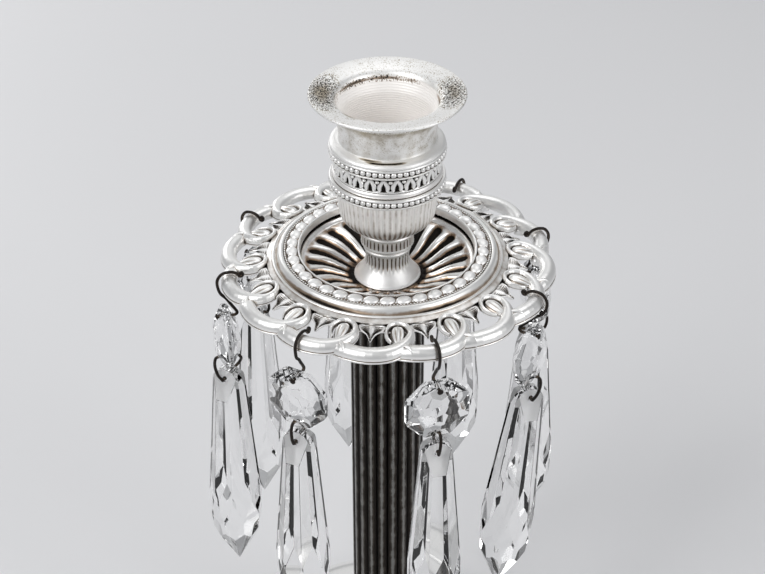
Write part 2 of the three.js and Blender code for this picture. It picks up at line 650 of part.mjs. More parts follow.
// The candle tube with its floor, and the spun lip over it
function buildSocket() {
  const neckFoot = lipFoot + SHOULDER_DROP;
  const boreFoot = neckFoot - 0.5;
  const floor = lipTop - BORE_DEPTH;
  add('candle_tube', turned([
    [0, floor - TUBE_WALL], [tubeRadius - 0.6, floor - TUBE_WALL], [tubeRadius, floor],
    [tubeRadius, boreFoot], [BORE_RADIUS, boreFoot], [BORE_RADIUS, floor], [0, floor],
  ], CUP_SIDES), metals.plate);

  const neck = BORE_RADIUS + LIP_WALL;
  const shoulder = drumRadius + BEAD_RING_PROUD - 0.4;
  const flare = LIP_RADIUS - neck;
  const rise = LIP_HEIGHT - SHOULDER_DROP;
  add('socket_lip', ring([
    [cupBore + LIP_WALL, lipFoot], [shoulder, lipFoot], [shoulder, lipFoot + 0.5],
    [neck + 0.4, neckFoot - 0.2], [neck, neckFoot + 0.12 * rise],
    [neck + 0.06 * flare, neckFoot + 0.38 * rise], [neck + 0.25 * flare, neckFoot + 0.66 * rise],
    [neck + 0.6 * flare, neckFoot + 0.86 * rise], [LIP_RADIUS - LIP_ROLL, lipTop - 2 * LIP_ROLL],
    [LIP_RADIUS, lipTop - 1.3 * LIP_ROLL],
    [LIP_RADIUS - 0.2 * LIP_ROLL, lipTop - 0.3 * LIP_ROLL], [LIP_RADIUS - LIP_ROLL, lipTop],
    [FUNNEL_RADIUS + 0.5, lipTop - LIP_DISH], [FUNNEL_RADIUS - 0.1, lipTop - LIP_DISH - 0.6],
    [BORE_RADIUS, lipTop - FUNNEL_DEPTH], [BORE_RADIUS, boreFoot],
    [cupBore, boreFoot],
  ], CUP_SIDES), metals.plate);
}

// A cut octagon, hung with its flats level: two flat tables, sloping facets and a thin
// girdle. Its middle is at the origin and its holes run along Y.
function octagonGeometry() {
  const corner = 1 / Math.cos(Math.PI / 8);
  const levels = [
    [OCTAGON_TABLE, -OCTAGON_HALF_THICKNESS], [OCTAGON_HALF_WIDTH, -OCTAGON_GIRDLE],
    [OCTAGON_HALF_WIDTH, OCTAGON_GIRDLE], [OCTAGON_TABLE, OCTAGON_HALF_THICKNESS],
  ];
  const rings = levels.map(([half, depth]) => Array.from({ length: 8 }, (_, i) => {
    const angle = (Math.PI / 4) * (i + 0.5);
    const reach = half * corner;
    return new THREE.Vector3(reach * Math.cos(angle), depth, reach * Math.sin(angle));
  }));
  let stone = toSolid(loft(rings));
  for (const side of [-1, 1]) {
    const hole = new THREE.CylinderGeometry(HOLE_RADIUS, HOLE_RADIUS, 2 * OCTAGON_HALF_THICKNESS, 6);
    hole.translate(0, 0, side * (OCTAGON_HALF_WIDTH - HOLE_EDGE));
    stone = stone.subtract(toSolid(hole));
  }
  return fromSolid(stone);
}

// A frustum with eight flats. Depths are below the tab's top, and turn is a share of a flat.
function facets(upperHalf, upperDepth, lowerHalf, lowerDepth, turn) {
  const corner = 1 / Math.cos(Math.PI / 8);
  const height = lowerDepth - upperDepth;
  const cone = new THREE.CylinderGeometry(upperHalf * corner, lowerHalf * corner, height, 8);
  cone.rotateX(Math.PI / 2).rotateZ((Math.PI / 8) * (1 + 2 * turn));
  return toSolid(cone.translate(0, 0, -(upperDepth + lowerDepth) / 2));
}

// A cut prism: eight long facets that widen, a zigzag row of steep ones, and the point.
// Its head is ground flat on two sides and rounded. The origin is the middle of its hole.
function prismGeometry() {
  const widen = (PRISM_HALF_WIDTH - PRISM_HEAD_HALF_WIDTH) / PRISM_WIDEST;
  const reach = PRISM_LENGTH + 4;
  const pointSlope = (PRISM_POINT_SHARE * PRISM_HALF_WIDTH) / PRISM_POINT;
  const steepTop = PRISM_WIDEST - PRISM_STEEP_RISE;
  const corner = PRISM_CORNER_CUT * PRISM_HALF_WIDTH;
  const long = facets(PRISM_HEAD_HALF_WIDTH, 0, PRISM_HEAD_HALF_WIDTH + widen * reach, reach, 0);
  const steep = facets(
    corner + PRISM_STEEP_FALL * steepTop, -0.01,
    corner - PRISM_STEEP_FALL * (reach - steepTop), reach, 0.5,
  );
  const point = facets(pointSlope * (PRISM_LENGTH + 0.02), -0.02, 0.001, PRISM_LENGTH, 0);

  const arch = PRISM_HEAD_HALF_WIDTH + 0.25;
  const head = new THREE.Shape();
  head.moveTo(2 * PRISM_HALF_WIDTH, -reach);
  for (const degrees of [5, 45, 90, 135, 175]) {
    head.lineTo(arch * Math.cos(radians(degrees)), arch * (Math.sin(radians(degrees)) - 1));
  }
  head.lineTo(-2 * PRISM_HALF_WIDTH, -reach);
  const depth = 4 * PRISM_HALF_WIDTH;
  const outline = new THREE.ExtrudeGeometry(head, { depth, bevelEnabled: false });
  outline.translate(0, 0, -depth / 2).rotateX(Math.PI / 2);

  let stone = long.intersect(steep).intersect(point).intersect(toSolid(outline));
  for (const side of [-1, 1]) {
    const block = new THREE.BoxGeometry(depth, depth, depth);
    block.translate(0, side * (depth / 2), 0).rotateX(side * radians(TAB_SLOPE));
    block.translate(0, side * TAB_HALF_THICKNESS, 0);
    stone = stone.subtract(toSolid(block));
  }
  const hole = new THREE.CylinderGeometry(HOLE_RADIUS, HOLE_RADIUS, depth, 6);
  stone = stone.subtract(toSolid(hole.translate(0, 0, -TAB_HOLE_DEPTH)));
  return fromSolid(stone).translate(0, 0, TAB_HOLE_DEPTH);
}

// The hook: [outward, up, share of its bend] from the arm's middle. It clasps the arm, comes
// in under it, passes behind the octagon and out through its upper hole. A bent hook carries
// the octagon out and along by a few tenths or millimetres.
function hookGeometry(bentOut, bentAlong) {
  const wide = ARM_HALF_WIDTH + SLIP + WIRE_RADIUS;
  const high = ARM_HALF_HEIGHT + SLIP + WIRE_RADIUS;
  const behind = OCTAGON_HALF_THICKNESS + WIRE_RADIUS - 0.6;
  const path = [
    [-wide, -0.4 * high, 0], [-wide, 0.25 * high, 0], [-0.6 * wide, 0.85 * high, 0],
    [0, 1.03 * high, 0], [0.62 * wide, 0.85 * high, 0], [1.02 * wide, 0.2 * high, 0],
    [1.02 * wide, -0.6 * high, 0], [0.7 * wide, -1.4 * high, 0.2],
    [0.1 * wide, -2 * high, 0.5], [-0.35 * behind, 3.6 - HOOK_DROP, 0.75],
    [-0.85 * behind, 1.7 - HOOK_DROP, 1], [-behind, 0.6 - HOOK_DROP, 1],
    [-0.7 * behind, -HOOK_DROP, 1], [0, -HOOK_DROP, 1], [behind - 0.8, -HOOK_DROP, 1],
  ].map(([out, up, bend]) => new THREE.Vector3(bend * bentAlong, -out - bend * bentOut, up));
  return wire(path, 12);
}

// The wire link from the octagon's lower hole to the prism's hole, which is turned about
// the vertical. The origin is the middle of the prism's hole.
function linkWireGeometry(turn) {
  const upper = OCTAGON_HALF_THICKNESS - 0.75;
  const tab = TAB_HALF_THICKNESS + TAB_HOLE_DEPTH * Math.tan(radians(TAB_SLOPE)) + WIRE_RADIUS;
  const lower = tab + 0.7;
  const at = (out, up, share) => new THREE.Vector3(0, -out, up)
    .applyAxisAngle(new THREE.Vector3(0, 0, 1), radians(turn) * share);
  const path = [
    at(upper, LINK_DROP, 0), at(0, LINK_DROP, 0), at(-upper, LINK_DROP, 0),
    at(-lower, LINK_DROP - 0.8, 0.05), at(-1.15 * lower, 0.62 * LINK_DROP, 0.35),
    at(-1.15 * lower, 0.3 * LINK_DROP, 0.7), at(-lower, 0.5, 0.97), at(-0.8 * lower, 0, 1),
    at(0, 0, 1), at(lower, 0, 1),
  ];
  return wire(path, 8);
}

// Where a hook sits on its arm: the arm's middle there and the way it faces
function hookSeat(seatDegrees) {
  const wanted = radians(seatDegrees);
  let [low, high] = [0, 0.5];
  for (let i = 0; i < 40; i += 1) {
    const middle = (low + high) / 2;
    const point = linkCurve.getPoint(middle);
    if (Math.atan2(point.x, -point.y) < wanted) low = middle;
    else high = middle;
  }
  const point = linkCurve.getPoint(low);
  const along = linkCurve.getTangent(low);
  return { point, facing: Math.atan2(along.y, along.x) };
}

// The strands: hook, octagon, wire link and prism, one under the other
function buildStrands() {
  const [octagon, prism] = [octagonGeometry(), prismGeometry()];
  const holeSpan = 2 * (OCTAGON_HALF_WIDTH - HOLE_EDGE);
  const firstVolute = LINK_PHASE - linkStep;
  STRANDS.forEach(({ name, slide, turn, lean, out, along }, k) => {
    const seat = hookSeat(slide - STRAND_SEAT);
    const arm = new THREE.Group();
    arm.rotation.z = radians(firstVolute + k * strandStep);
    const strand = new THREE.Group();
    strand.position.copy(seat.point);
    strand.rotation.z = seat.facing;
    arm.add(strand);
    candlestick.add(arm);
    add(`hook_${name}`, hookGeometry(out, along), metals.dark, strand);
    const octagonHole = -HOOK_DROP;
    const prismHole = octagonHole - holeSpan - LINK_DROP;
    const stone = add(`octagon_${name}`, octagon, glassLook, strand);
    stone.position.set(along, -out, octagonHole - holeSpan / 2);
    const link = add(`link_${name}`, linkWireGeometry(turn), metals.dark, strand);
    link.position.set(along, -out, prismHole);
    const drop = add(`prism_${name}`, prism, glassLook, strand);
    drop.position.set(along, -out, prismHole);
    drop.rotation.set(0, radians(lean), radians(turn), 'ZYX');
  });
}

buildBase();
buildColumn();
buildRod();
buildPan();
buildRim();
buildBorder();
buildCupFoot();
buildBowl();
buildTrims();
buildSocket();
buildStrands();

export default candlestick;
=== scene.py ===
# %% [markdown]
# # A silver-plated candlestick hung with cut crystal
# The real thing is a stack of spun and cast silver-plated parts on one long rod: a domed
# foot, a reeded column, a pressed drip pan with a cast scroll border, and a vase-shaped
# cup for the candle. Eight strings of cut glass hang on the border by wire hooks.
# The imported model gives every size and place, so this script only dresses it. Shapes are
# modelled in millimetres, and become metres when a piece is finished.

import json
import math

import bmesh
import bpy
from mathutils import Matrix, Vector


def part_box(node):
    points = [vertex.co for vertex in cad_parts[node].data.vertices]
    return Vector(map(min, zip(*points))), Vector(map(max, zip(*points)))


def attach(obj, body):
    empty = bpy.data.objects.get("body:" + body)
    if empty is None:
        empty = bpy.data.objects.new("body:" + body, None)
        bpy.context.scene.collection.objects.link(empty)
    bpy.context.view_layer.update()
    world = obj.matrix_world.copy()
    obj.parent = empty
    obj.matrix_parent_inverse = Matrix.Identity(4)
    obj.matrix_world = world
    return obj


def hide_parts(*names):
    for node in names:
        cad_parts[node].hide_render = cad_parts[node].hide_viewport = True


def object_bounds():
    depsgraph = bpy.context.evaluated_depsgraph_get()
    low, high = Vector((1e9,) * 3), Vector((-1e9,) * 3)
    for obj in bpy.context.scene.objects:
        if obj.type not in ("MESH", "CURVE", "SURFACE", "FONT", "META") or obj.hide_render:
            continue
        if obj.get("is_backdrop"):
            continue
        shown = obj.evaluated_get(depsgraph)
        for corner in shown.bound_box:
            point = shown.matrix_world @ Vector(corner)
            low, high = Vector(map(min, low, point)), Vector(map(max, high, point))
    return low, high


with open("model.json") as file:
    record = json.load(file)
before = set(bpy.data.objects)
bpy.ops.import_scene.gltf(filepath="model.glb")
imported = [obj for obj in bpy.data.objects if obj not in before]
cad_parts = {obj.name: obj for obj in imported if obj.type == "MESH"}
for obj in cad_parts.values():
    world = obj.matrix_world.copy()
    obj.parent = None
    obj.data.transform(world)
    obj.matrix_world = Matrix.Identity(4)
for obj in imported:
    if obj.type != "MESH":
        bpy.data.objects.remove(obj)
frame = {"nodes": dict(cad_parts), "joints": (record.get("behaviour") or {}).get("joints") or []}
cad_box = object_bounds()
MM = 0.001
FULL_TURN = 2 * math.pi

# %% [markdown]
# ## The camera
# The photograph looks down on the cup from about 34 degrees with a long lens, so the rim
# of the cup and the drip pan show as open ellipses. A camera could be placed by eye, but
# these ellipses give its height, pitch and lens at once: only one set makes them all fit.

# %% Place the camera
SENSOR_WIDTH = 36  # millimetres
PHOTO_WIDTH = 765  # pixels
PHOTO_FOCUS = 1812.2  # focal length in those pixels
CAMERA_BACK, CAMERA_UP = 0.3828, 0.393  # metres
CAMERA_PITCH = 33.85  # degrees below the horizon
CAMERA_SHIFT = -0.0064  # the object stands a little right of the middle

camera = bpy.data.objects.new("camera", bpy.data.cameras.new("camera"))
camera.data.sensor_width = SENSOR_WIDTH
camera.data.lens = SENSOR_WIDTH * PHOTO_FOCUS / PHOTO_WIDTH
camera.data.shift_x = CAMERA_SHIFT
camera.data.clip_start = 0.01
camera.location = (0, -CAMERA_BACK, CAMERA_UP)
camera.rotation_euler = (math.radians(90 - CAMERA_PITCH), 0, 0)
bpy.context.scene.collection.objects.link(camera)
bpy.context.scene.camera = camera
print("lens", round(camera.data.lens, 1), "mm")

# %% [markdown]
# ## Light and floor
# Polished metal has no look of its own: it shows what stands round it. Large soft lamps
# give it broad highlights, and a world that is darker than the lamps gives it the grey
# and dark passages between them. A picture of a room would give richer reflections, but
# plain lamps leave the object to speak for itself. The floor is plain and pale.

# %% Make the floor, the lamps and the world
FLOOR_HALF = 3  # metres
FLOOR_COLOR = (0.73, 0.73, 0.74, 1)
WORLD_COLOR = (0.36, 0.365, 0.375, 1)
LAMPS = {  # place, size and power; each one faces the cup
    "key": ((-0.55, -0.45, 0.75), 0.5, 3.9),
    "fill": ((0.7, -0.45, 0.5), 0.5, 2.4),
    "top": ((0.1, 0.3, 0.95), 0.6, 1.7),
    "back": ((-0.45, 0.7, 0.35), 0.4, 1.2),
    "behind": ((0.1, 0.95, 0.5), 0.7, 0.5),
}


def plain_material(name, color, roughness):
    material = bpy.data.materials.new(name)
    material.use_nodes = True
    shader = material.node_tree.nodes["Principled BSDF"]
    shader.inputs["Base Color"].default_value = color
    shader.inputs["Roughness"].default_value = roughness
    return material


floor_bm = bmesh.new()
bmesh.ops.create_grid(floor_bm, x_segments=1, y_segments=1, size=FLOOR_HALF)
floor_mesh = bpy.data.meshes.new("floor")
floor_bm.to_mesh(floor_mesh)
floor_bm.free()
floor = bpy.data.objects.new("floor", floor_mesh)
floor_mesh.materials.append(plain_material("pale_floor", FLOOR_COLOR, 0.55))
bpy.context.scene.collection.objects.link(floor)
floor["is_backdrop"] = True

cup_middle = Vector((0, 0, 0.15))
for name, (place, size, power) in LAMPS.items():
    lamp = bpy.data.objects.new(name, bpy.data.lights.new(name, "AREA"))
    lamp.data.size = size
    lamp.data.energy = power
    lamp.location = place
    lamp.visible_camera = False
    lamp.rotation_euler = (cup_middle - Vector(place)).to_track_quat("-Z", "Y").to_euler()
    bpy.context.scene.collection.objects.link(lamp)

world = bpy.data.worlds.new("studio")
bpy.context.scene.world = world
world.use_nodes = True
world.node_tree.nodes["Background"].inputs["Color"].default_value = WORLD_COLOR
bpy.context.scene.view_settings.view_transform = "Standard"
print(len(LAMPS), "lamps")

# %% [markdown]
# ## Helpers for shapes
# Most of this object is turned on a lathe, so the helper called turned spins an outline
# round the upright axis. A stack of cylinders and cones would leave a seam at each joint.
# Corners of the outline are rounded with a bevel before it is spun, which keeps the
# outline itself down to the few points that a turner would mark out.

# %% Outlines and the lathe
SEGMENTS = 144  # round a turned piece


def span(node):
    """The foot, the top and the reach from the axis of a CAD node, in millimetres."""
    low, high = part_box(node)
    reach = max(-low.x, -low.y, high.x, high.y)
    return low.z / MM, high.z / MM, reach / MM


def bezier(start, start_handle, end_handle, end, count):
    """Points of a curve between two ends, both included."""
    points = []
    for i in range(count + 1):
        t = i / count
        s = 1 - t
        weights = (s**3, 3 * s * s * t, 3 * s * t * t, t**3)
        corners = (start, start_handle, end_handle, end)
        points.append(tuple(sum(w * c[k] for w, c in zip(weights, corners)) for k in (0, 1)))
    return points


def arc(middle, radius, start, end, count):
    """Points of an arc in the plane of an outline, with angles in degrees."""
    angles = [math.radians(start + (end - start) * i / count) for i in range(count + 1)]
    return [(middle[0] + radius * math.cos(a), middle[1] + radius * math.sin(a)) for a in angles]


def turned(outline, segments=SEGMENTS, closed=True):
    """Spins an outline of (radius, height) or (radius, height, rounding) round the axis."""
    bm = bmesh.new()
    corners = [bm.verts.new((row[0], 0, row[1])) for row in outline]
    rounding = {}
    for corner, row in zip(corners, outline):
        if len(row) > 2:
            rounding.setdefault(row[2], []).append(corner)
    for one, two in zip(corners, corners[1:]):
        bm.edges.new((one, two))
    if closed:
        bm.edges.new((corners[-1], corners[0]))
    for offset, chosen in rounding.items():
        bmesh.ops.bevel(bm, geom=chosen, offset=offset, offset_type="OFFSET", segments=4,
                        profile=0.5, affect="VERTICES", material=-1)
    bmesh.ops.spin(bm, geom=bm.verts[:] + bm.edges[:], cent=(0, 0, 0), axis=(0, 0, 1),
                   angle=FULL_TURN, steps=segments, use_merge=True)
    bmesh.ops.remove_doubles(bm, verts=bm.verts[:], dist=1e-4)
    bmesh.ops.recalc_face_normals(bm, faces=bm.faces[:])
    return bm


def rows(low, high, count):
    """Evenly spaced values between two ends, both included."""
    return [low + (high - low) * (i / count) for i in range(count + 1)]


def join(bm, other):
    """Adds one bmesh to another and frees it."""
    mesh = bpy.data.meshes.new("joined")
    other.to_mesh(mesh)
    other.free()
    bm.from_mesh(mesh)
    bpy.data.meshes.remove(mesh)
    return bm


print("rings of a turned piece:", SEGMENTS)

# %% [markdown]
# Scrolls and wires are one section pushed along a path. A curve object with a bevel would
# do for a plain wire, but a scroll grows wider and flatter on its way, and its section is
# not round. So the section is extruded from station to station, and each station is a
# matrix that says where it stands, which way it faces and how far it is stretched.

# %% Paths and sweeps


def frame_at(place, ahead, up=(0, 0, 1), wide=1, high=1):
    """A matrix at a place, with Z ahead and Y up, stretched across and upwards."""
    ahead = Vector(ahead).normalized()
    across = Vector(up).cross(ahead).normalized()
    lift = ahead.cross(across)
    turn = Matrix((across * wide, lift * high, ahead)).transposed().to_4x4()
    return Matrix.Translation(place) @ turn


def swept(section, stations, sunk=()):
    """A solid whose section is pushed from station to station, some corners as grooves."""
    bm = bmesh.new()
    groove = groove_layer(bm)
    corners = [bm.verts.new(stations[0] @ Vector((x, y, 0))) for x, y in section]
    for i in sunk:
        corners[i][groove] = 1.0
    face = bm.faces.new(corners)
    for before, after in zip(stations, stations[1:]):
        made = bmesh.ops.extrude_face_region(bm, geom=[face])["geom"]
        face = next(part for part in made if isinstance(part, bmesh.types.BMFace))
        bmesh.ops.transform(bm, matrix=after @ before.inverted(), verts=face.verts[:])
    bmesh.ops.recalc_face_normals(bm, faces=bm.faces[:])
    return bm


def round_section(sides):
    steps = [FULL_TURN * i / sides for i in range(sides)]
    return [(math.cos(a), math.sin(a)) for a in steps]


def smooth_path(points, steps):
    """Points along a smooth curve through the given ones, steps to each gap."""
    knots = [Vector(p) for p in points]
    knots = [2 * knots[0] - knots[1], *knots, 2 * knots[-1] - knots[-2]]
    path = []
    for a, b, c, d in zip(knots, knots[1:], knots[2:], knots[3:]):
        for i in range(steps):
            t = i / steps
            path.append(0.5 * (2 * b + (c - a) * t + (2 * a - 5 * b + 4 * c - d) * t * t
                               + (3 * b - 3 * c + d - a) * t**3))
    return [*path, knots[-2]]


def headings(places):
    """The way ahead at each place of a path, from the places before and after it."""
    before, after = [places[0], *places], [*places[1:], places[-1]]
    return [later - earlier for earlier, later in zip(before, after)]


def groove_layer(bm):
    return bm.verts.layers.float.get("groove") or bm.verts.layers.float.new("groove")


print("corners of a section with 8 sides:", len(round_section(8)))

# %% [markdown]
# What repeats round the axis is made once and copied with a spin. Flutes, ribs and reeds
# are pressed into a turned piece by a rule on the angle. Cutting them one by one with
# booleans would be slower and leave slivers, and the rule also fills the groove attribute,
# which tells the silver where to tarnish.

# %% Round the axis


def all_round(bm, count, first=0.0):
    """Repeats a whole bmesh round the axis, the first copy turned by an angle in degrees."""
    bmesh.ops.rotate(bm, verts=bm.verts[:], cent=(0, 0, 0),
                     matrix=Matrix.Rotation(math.radians(first), 3, "Z"))
    geometry = bm.verts[:] + bm.edges[:] + bm.faces[:]
    bmesh.ops.spin(bm, geom=geometry, cent=(0, 0, 0), axis=(0, 0, 1), use_duplicate=True,
                   angle=FULL_TURN * (count - 1) / count, steps=count - 1)
    return bm


def polar(radius, degrees, height):
    """A place by its angle from the front, counted towards the right of the photograph."""
    angle = math.radians(degrees)
    return Vector((radius * math.sin(angle), -radius * math.cos(angle), height))


def around(place):
    """The angle in degrees and the radius of a place, as polar counts them."""
    return math.degrees(math.atan2(place.x, -place.y)), math.hypot(place.x, place.y)


def pressed(bm, rule):
    """Presses a turned piece. The rule on a vertex's angle, radius and height gives its
    groove, its step in and its rise, or nothing where the piece stays as it is."""
    groove = groove_layer(bm)
    for vert in bm.verts:
        degrees, radius = around(vert.co)
        change = rule(degrees, radius, vert.co.z)
        if change:
            vert[groove], step_in, rise = change
            vert.co.xy *= 1 - step_in / radius
            vert.co.z += rise
    return bm


print("a place to the right:", [round(value, 3) for value in polar(1, 90, 0)])

# %% [markdown]
# Every piece ends in the same way. Its bmesh becomes an object at the origin, in metres,
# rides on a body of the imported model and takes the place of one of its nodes. The object
# could be moved to its place instead, but a pattern on Object coordinates would then slide
# when the object is put back, so the place is kept in the mesh.

# %% Finish a piece


def finish(name, bm, material, node, body="stand", smooth=40,
           subdivide=0, second=None):
    """Makes a bmesh in millimetres an object in metres that stands for a CAD node."""
    bmesh.ops.scale(bm, vec=(MM, MM, MM), verts=bm.verts[:])
    mesh = bpy.data.meshes.new(name)
    bm.to_mesh(mesh)
    bm.free()
    mesh.shade_smooth()
    mesh.set_sharp_from_angle(angle=math.radians(smooth))
    mesh.materials.append(material)
    if second:
        mesh.materials.append(second)
    piece = bpy.data.objects.new(name, mesh)
    bpy.context.scene.collection.objects.link(piece)
    if subdivide:
        rounder = piece.modifiers.new("rounder", "SUBSURF")
        rounder.levels = rounder.render_levels = subdivide
    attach(piece, body)
    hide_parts(node)
    print(name, len(mesh.polygons), "faces")


# %% [markdown]
# ## Node groups for old silver
# Silver plate that is handled and polished stays bright on its high places, and keeps
# brown and then black tarnish in its hollows. In Blender a look is a tree of small nodes
# wired together. A tree could be laid out by hand in the editor, but helpers that each
# make one node and give back its output let a tree be read like a formula.

# %% Helpers that make nodes
FINEST = 2600  # features to the metre, of the finest specks


def new_group(name, inputs, outputs):
    group = bpy.data.node_groups.new(name, "ShaderNodeTree")
    for label, value in inputs.items():
        socket = group.interface.new_socket(label, in_out="INPUT", socket_type="NodeSocketFloat")
        socket.default_value = value
    for label in outputs:
        group.interface.new_socket(label, in_out="OUTPUT", socket_type="NodeSocketFloat")
    start = group.nodes.new("NodeGroupInput")
    end = group.nodes.new("NodeGroupOutput")
    return group, start, end


def wire_up(tree, *pairs):
    for source, target in pairs:
        tree.links.new(source, target)


def math_node(tree, operation, first, second):
    node = tree.nodes.new("ShaderNodeMath")
    node.operation = operation
    for socket, value in zip(node.inputs, (first, second)):
        if isinstance(value, (int, float)):
            socket.default_value = value
        else:
            tree.links.new(value, socket)
    return node.outputs[0]


def remap(tree, value, low, high, to_low=0.0, to_high=1.0):
    node = tree.nodes.new("ShaderNodeMapRange")
    node.interpolation_type = "SMOOTHSTEP"
    for label, number in (("From Min", low), ("From Max", high),
                          ("To Min", to_low), ("To Max", to_high)):
        if isinstance(number, (int, float)):
            node.inputs[label].default_value = number
        else:
            tree.links.new(number, node.inputs[label])
    tree.links.new(value, node.inputs["Value"])
    return node.outputs["Result"]


def noise_node(tree, scale, detail=3.0, roughness=0.55):
    """Noise in the object's own metres; scale is in features to the metre."""
    place = tree.nodes.new("ShaderNodeTexCoord")
    noise = tree.nodes.new("ShaderNodeTexNoise")
    noise.inputs["Scale"].default_value = scale
    noise.inputs["Detail"].default_value = detail
    noise.inputs["Roughness"].default_value = roughness
    tree.links.new(place.outputs["Object"], noise.inputs["Vector"])
    return noise.outputs["Fac"]


print("finest specks:", round(1 / (FINEST * MM), 2), "mm apart")

# %% [markdown]
# One group turns "how hidden is this spot" into two masks, one for the brown fringe and
# one for the black. A second group gives the small dents, fine specks and smears of old
# spun metal. They are groups because every silver finish uses both, each with its own
# values, and a change in the group changes all of them.

# %% Build the tarnish and the wear
FRINGE = 0.28  # how far brown reaches below the level of tarnish, and black above it
tarnish, given, result = new_group(
    "tarnish", {"Hidden": 0.0, "Stain": 0.0, "Level": 0.5, "Unevenness": 0.3},
    ("Brown", "Black"))
blotches = noise_node(tarnish, 420)
uneven = math_node(tarnish, "MULTIPLY", math_node(tarnish, "SUBTRACT", blotches, 0.5),
                   given.outputs["Unevenness"])
grain = remap(tarnish, noise_node(tarnish, FINEST, 2, 0.6), 0.42, 0.62)
mottled = math_node(tarnish, "MULTIPLY", grain, given.outputs["Stain"])
hidden = math_node(tarnish, "ADD", uneven,
                   math_node(tarnish, "MAXIMUM", given.outputs["Hidden"], mottled))
brown_from = math_node(tarnish, "SUBTRACT", given.outputs["Level"], FRINGE)
black_to = math_node(tarnish, "ADD", given.outputs["Level"], FRINGE)
wire_up(tarnish,
        (remap(tarnish, hidden, brown_from, given.outputs["Level"]), result.inputs["Brown"]),
        (remap(tarnish, hidden, given.outputs["Level"], black_to), result.inputs["Black"]))

wear, given, result = new_group(
    "wear", {"Dents": 0.5, "Speckle": 0.3}, ("Height", "Roughening"))
dents = math_node(wear, "MULTIPLY", noise_node(wear, 260, 2), given.outputs["Dents"])
specks = noise_node(wear, FINEST, 2, 0.7)
speckle = math_node(wear, "MULTIPLY", specks, given.outputs["Speckle"])
smears = noise_node(wear, 120, 4, 0.6)
wire_up(wear, (math_node(wear, "ADD", dents, speckle), result.inputs["Height"]),
        (math_node(wear, "SUBTRACT", smears, 0.5), result.inputs["Roughening"]))
print("groups:", ", ".join(group.name for group in bpy.data.node_groups))

# %% [markdown]
# ## The silver
# All the silver is one metal, so one function makes every finish. What changes is how
# polished it is, how deep the tarnish goes and how much the surface is speckled. The
# hidden places come from two sources. Ambient occlusion finds the gaps between pieces and
# darkens them, partly as tarnish and partly as painted contact shade. An attribute called
# groove may be carried by a piece where its own flutes or ribs were pressed. A second
# attribute, stain, gives the mottled dark spots of wax smoke.

# %% Write a silver finish
SILVER = (0.93, 0.925, 0.91, 1)
PALE_SILVER = (0.97, 0.965, 0.955, 1)
BROWN = (0.33, 0.255, 0.19, 1)
BLACK = (0.022, 0.019, 0.017, 1)


def mix_color(tree, factor, first, second):
    node = tree.nodes.new("ShaderNodeMix")
    node.data_type = "RGBA"
    for socket, value in ((node.inputs[6], first), (node.inputs[7], second)):
        if isinstance(value, tuple):
            socket.default_value = value
        else:
            tree.links.new(value, socket)
    tree.links.new(factor, node.inputs[0])
    return node.outputs[2]


def group_node(tree, group, **values):
    node = tree.nodes.new("ShaderNodeGroup")
    node.node_tree = group
    for label, value in values.items():
        node.inputs[label].default_value = value
    return node


def silver(name, roughness=0.18, level=0.55, unevenness=0.3, reach=2.0, dents=0.4,
           speckle=0.3, bump=0.15, color=SILVER, brown=BROWN, ring_pitch=0.0, metallic=1.0):
    """An old silver finish. A hollow's reach and the pitch of turned rings are in mm."""
    material = bpy.data.materials.new(name)
    material.use_nodes = True
    tree = material.node_tree
    shader = tree.nodes["Principled BSDF"]
    shader.inputs["Metallic"].default_value = metallic

    # Ambient occlusion: gaps between pieces darken, partly as tarnish and partly as painted
    # contact shade.
    occlusion = tree.nodes.new("ShaderNodeAmbientOcclusion")
    occlusion.samples = 6
    occlusion.inputs["Distance"].default_value = reach * MM
    tarnish_and_contact_shade = remap(tree, occlusion.outputs["AO"], 0.9, 0.15)
    groove = tree.nodes.new("ShaderNodeAttribute")
    groove.attribute_name = "groove"
    dirty = group_node(tree, tarnish, Level=level, Unevenness=unevenness)
    tree.links.new(math_node(tree, "MAXIMUM", tarnish_and_contact_shade, groove.outputs["Fac"]),
                   dirty.inputs["Hidden"])
    smoked = tree.nodes.new("ShaderNodeAttribute")
    smoked.attribute_name = "stain"
    tree.links.new(smoked.outputs["Fac"], dirty.inputs["Stain"])
    tinted = mix_color(tree, dirty.outputs["Brown"], color, brown)
    tree.links.new(mix_color(tree, dirty.outputs["Black"], tinted, BLACK),
                   shader.inputs["Base Color"])

    worn = group_node(tree, wear, Dents=dents, Speckle=speckle)
    height = worn.outputs["Height"]
    if ring_pitch:
        place = tree.nodes.new("ShaderNodeTexCoord")
        axes = tree.nodes.new("ShaderNodeSeparateXYZ")
        tree.links.new(place.outputs["Object"], axes.inputs[0])
        along = math_node(tree, "MULTIPLY", axes.outputs["Z"], FULL_TURN / (ring_pitch * MM))
        height = math_node(tree, "ADD", height, math_node(tree, "SINE", along, 0.0))
    rough = math_node(tree, "ADD", roughness,
                      math_node(tree, "MULTIPLY", worn.outputs["Roughening"], 0.5 * roughness))
    dull = math_node(tree, "MULTIPLY", dirty.outputs["Black"], 0.3)
    tree.links.new(math_node(tree, "ADD", rough, dull), shader.inputs["Roughness"])
    bumps = tree.nodes.new("ShaderNodeBump")
    bumps.inputs["Strength"].default_value = bump
    bumps.inputs["Distance"].default_value = 0.1 * MM
    wire_up(tree, (height, bumps.inputs["Height"]),
            (bumps.outputs["Normal"], shader.inputs["Normal"]))
    return material


print("clean silver gives back", SILVER[:3], "of red, green and blue")

# %% [markdown]
# The finishes differ as the pieces do: spun sheet is dull and speckled, castings are
# darker in their corners, and beads and gadroons, which a cloth reaches, are pale. A rule
# can paint the groove and stain attributes at every vertex. A painted picture would need
# the surface laid out flat first, and a rule doesn't.

# %% Mix the finishes, and paint by rule


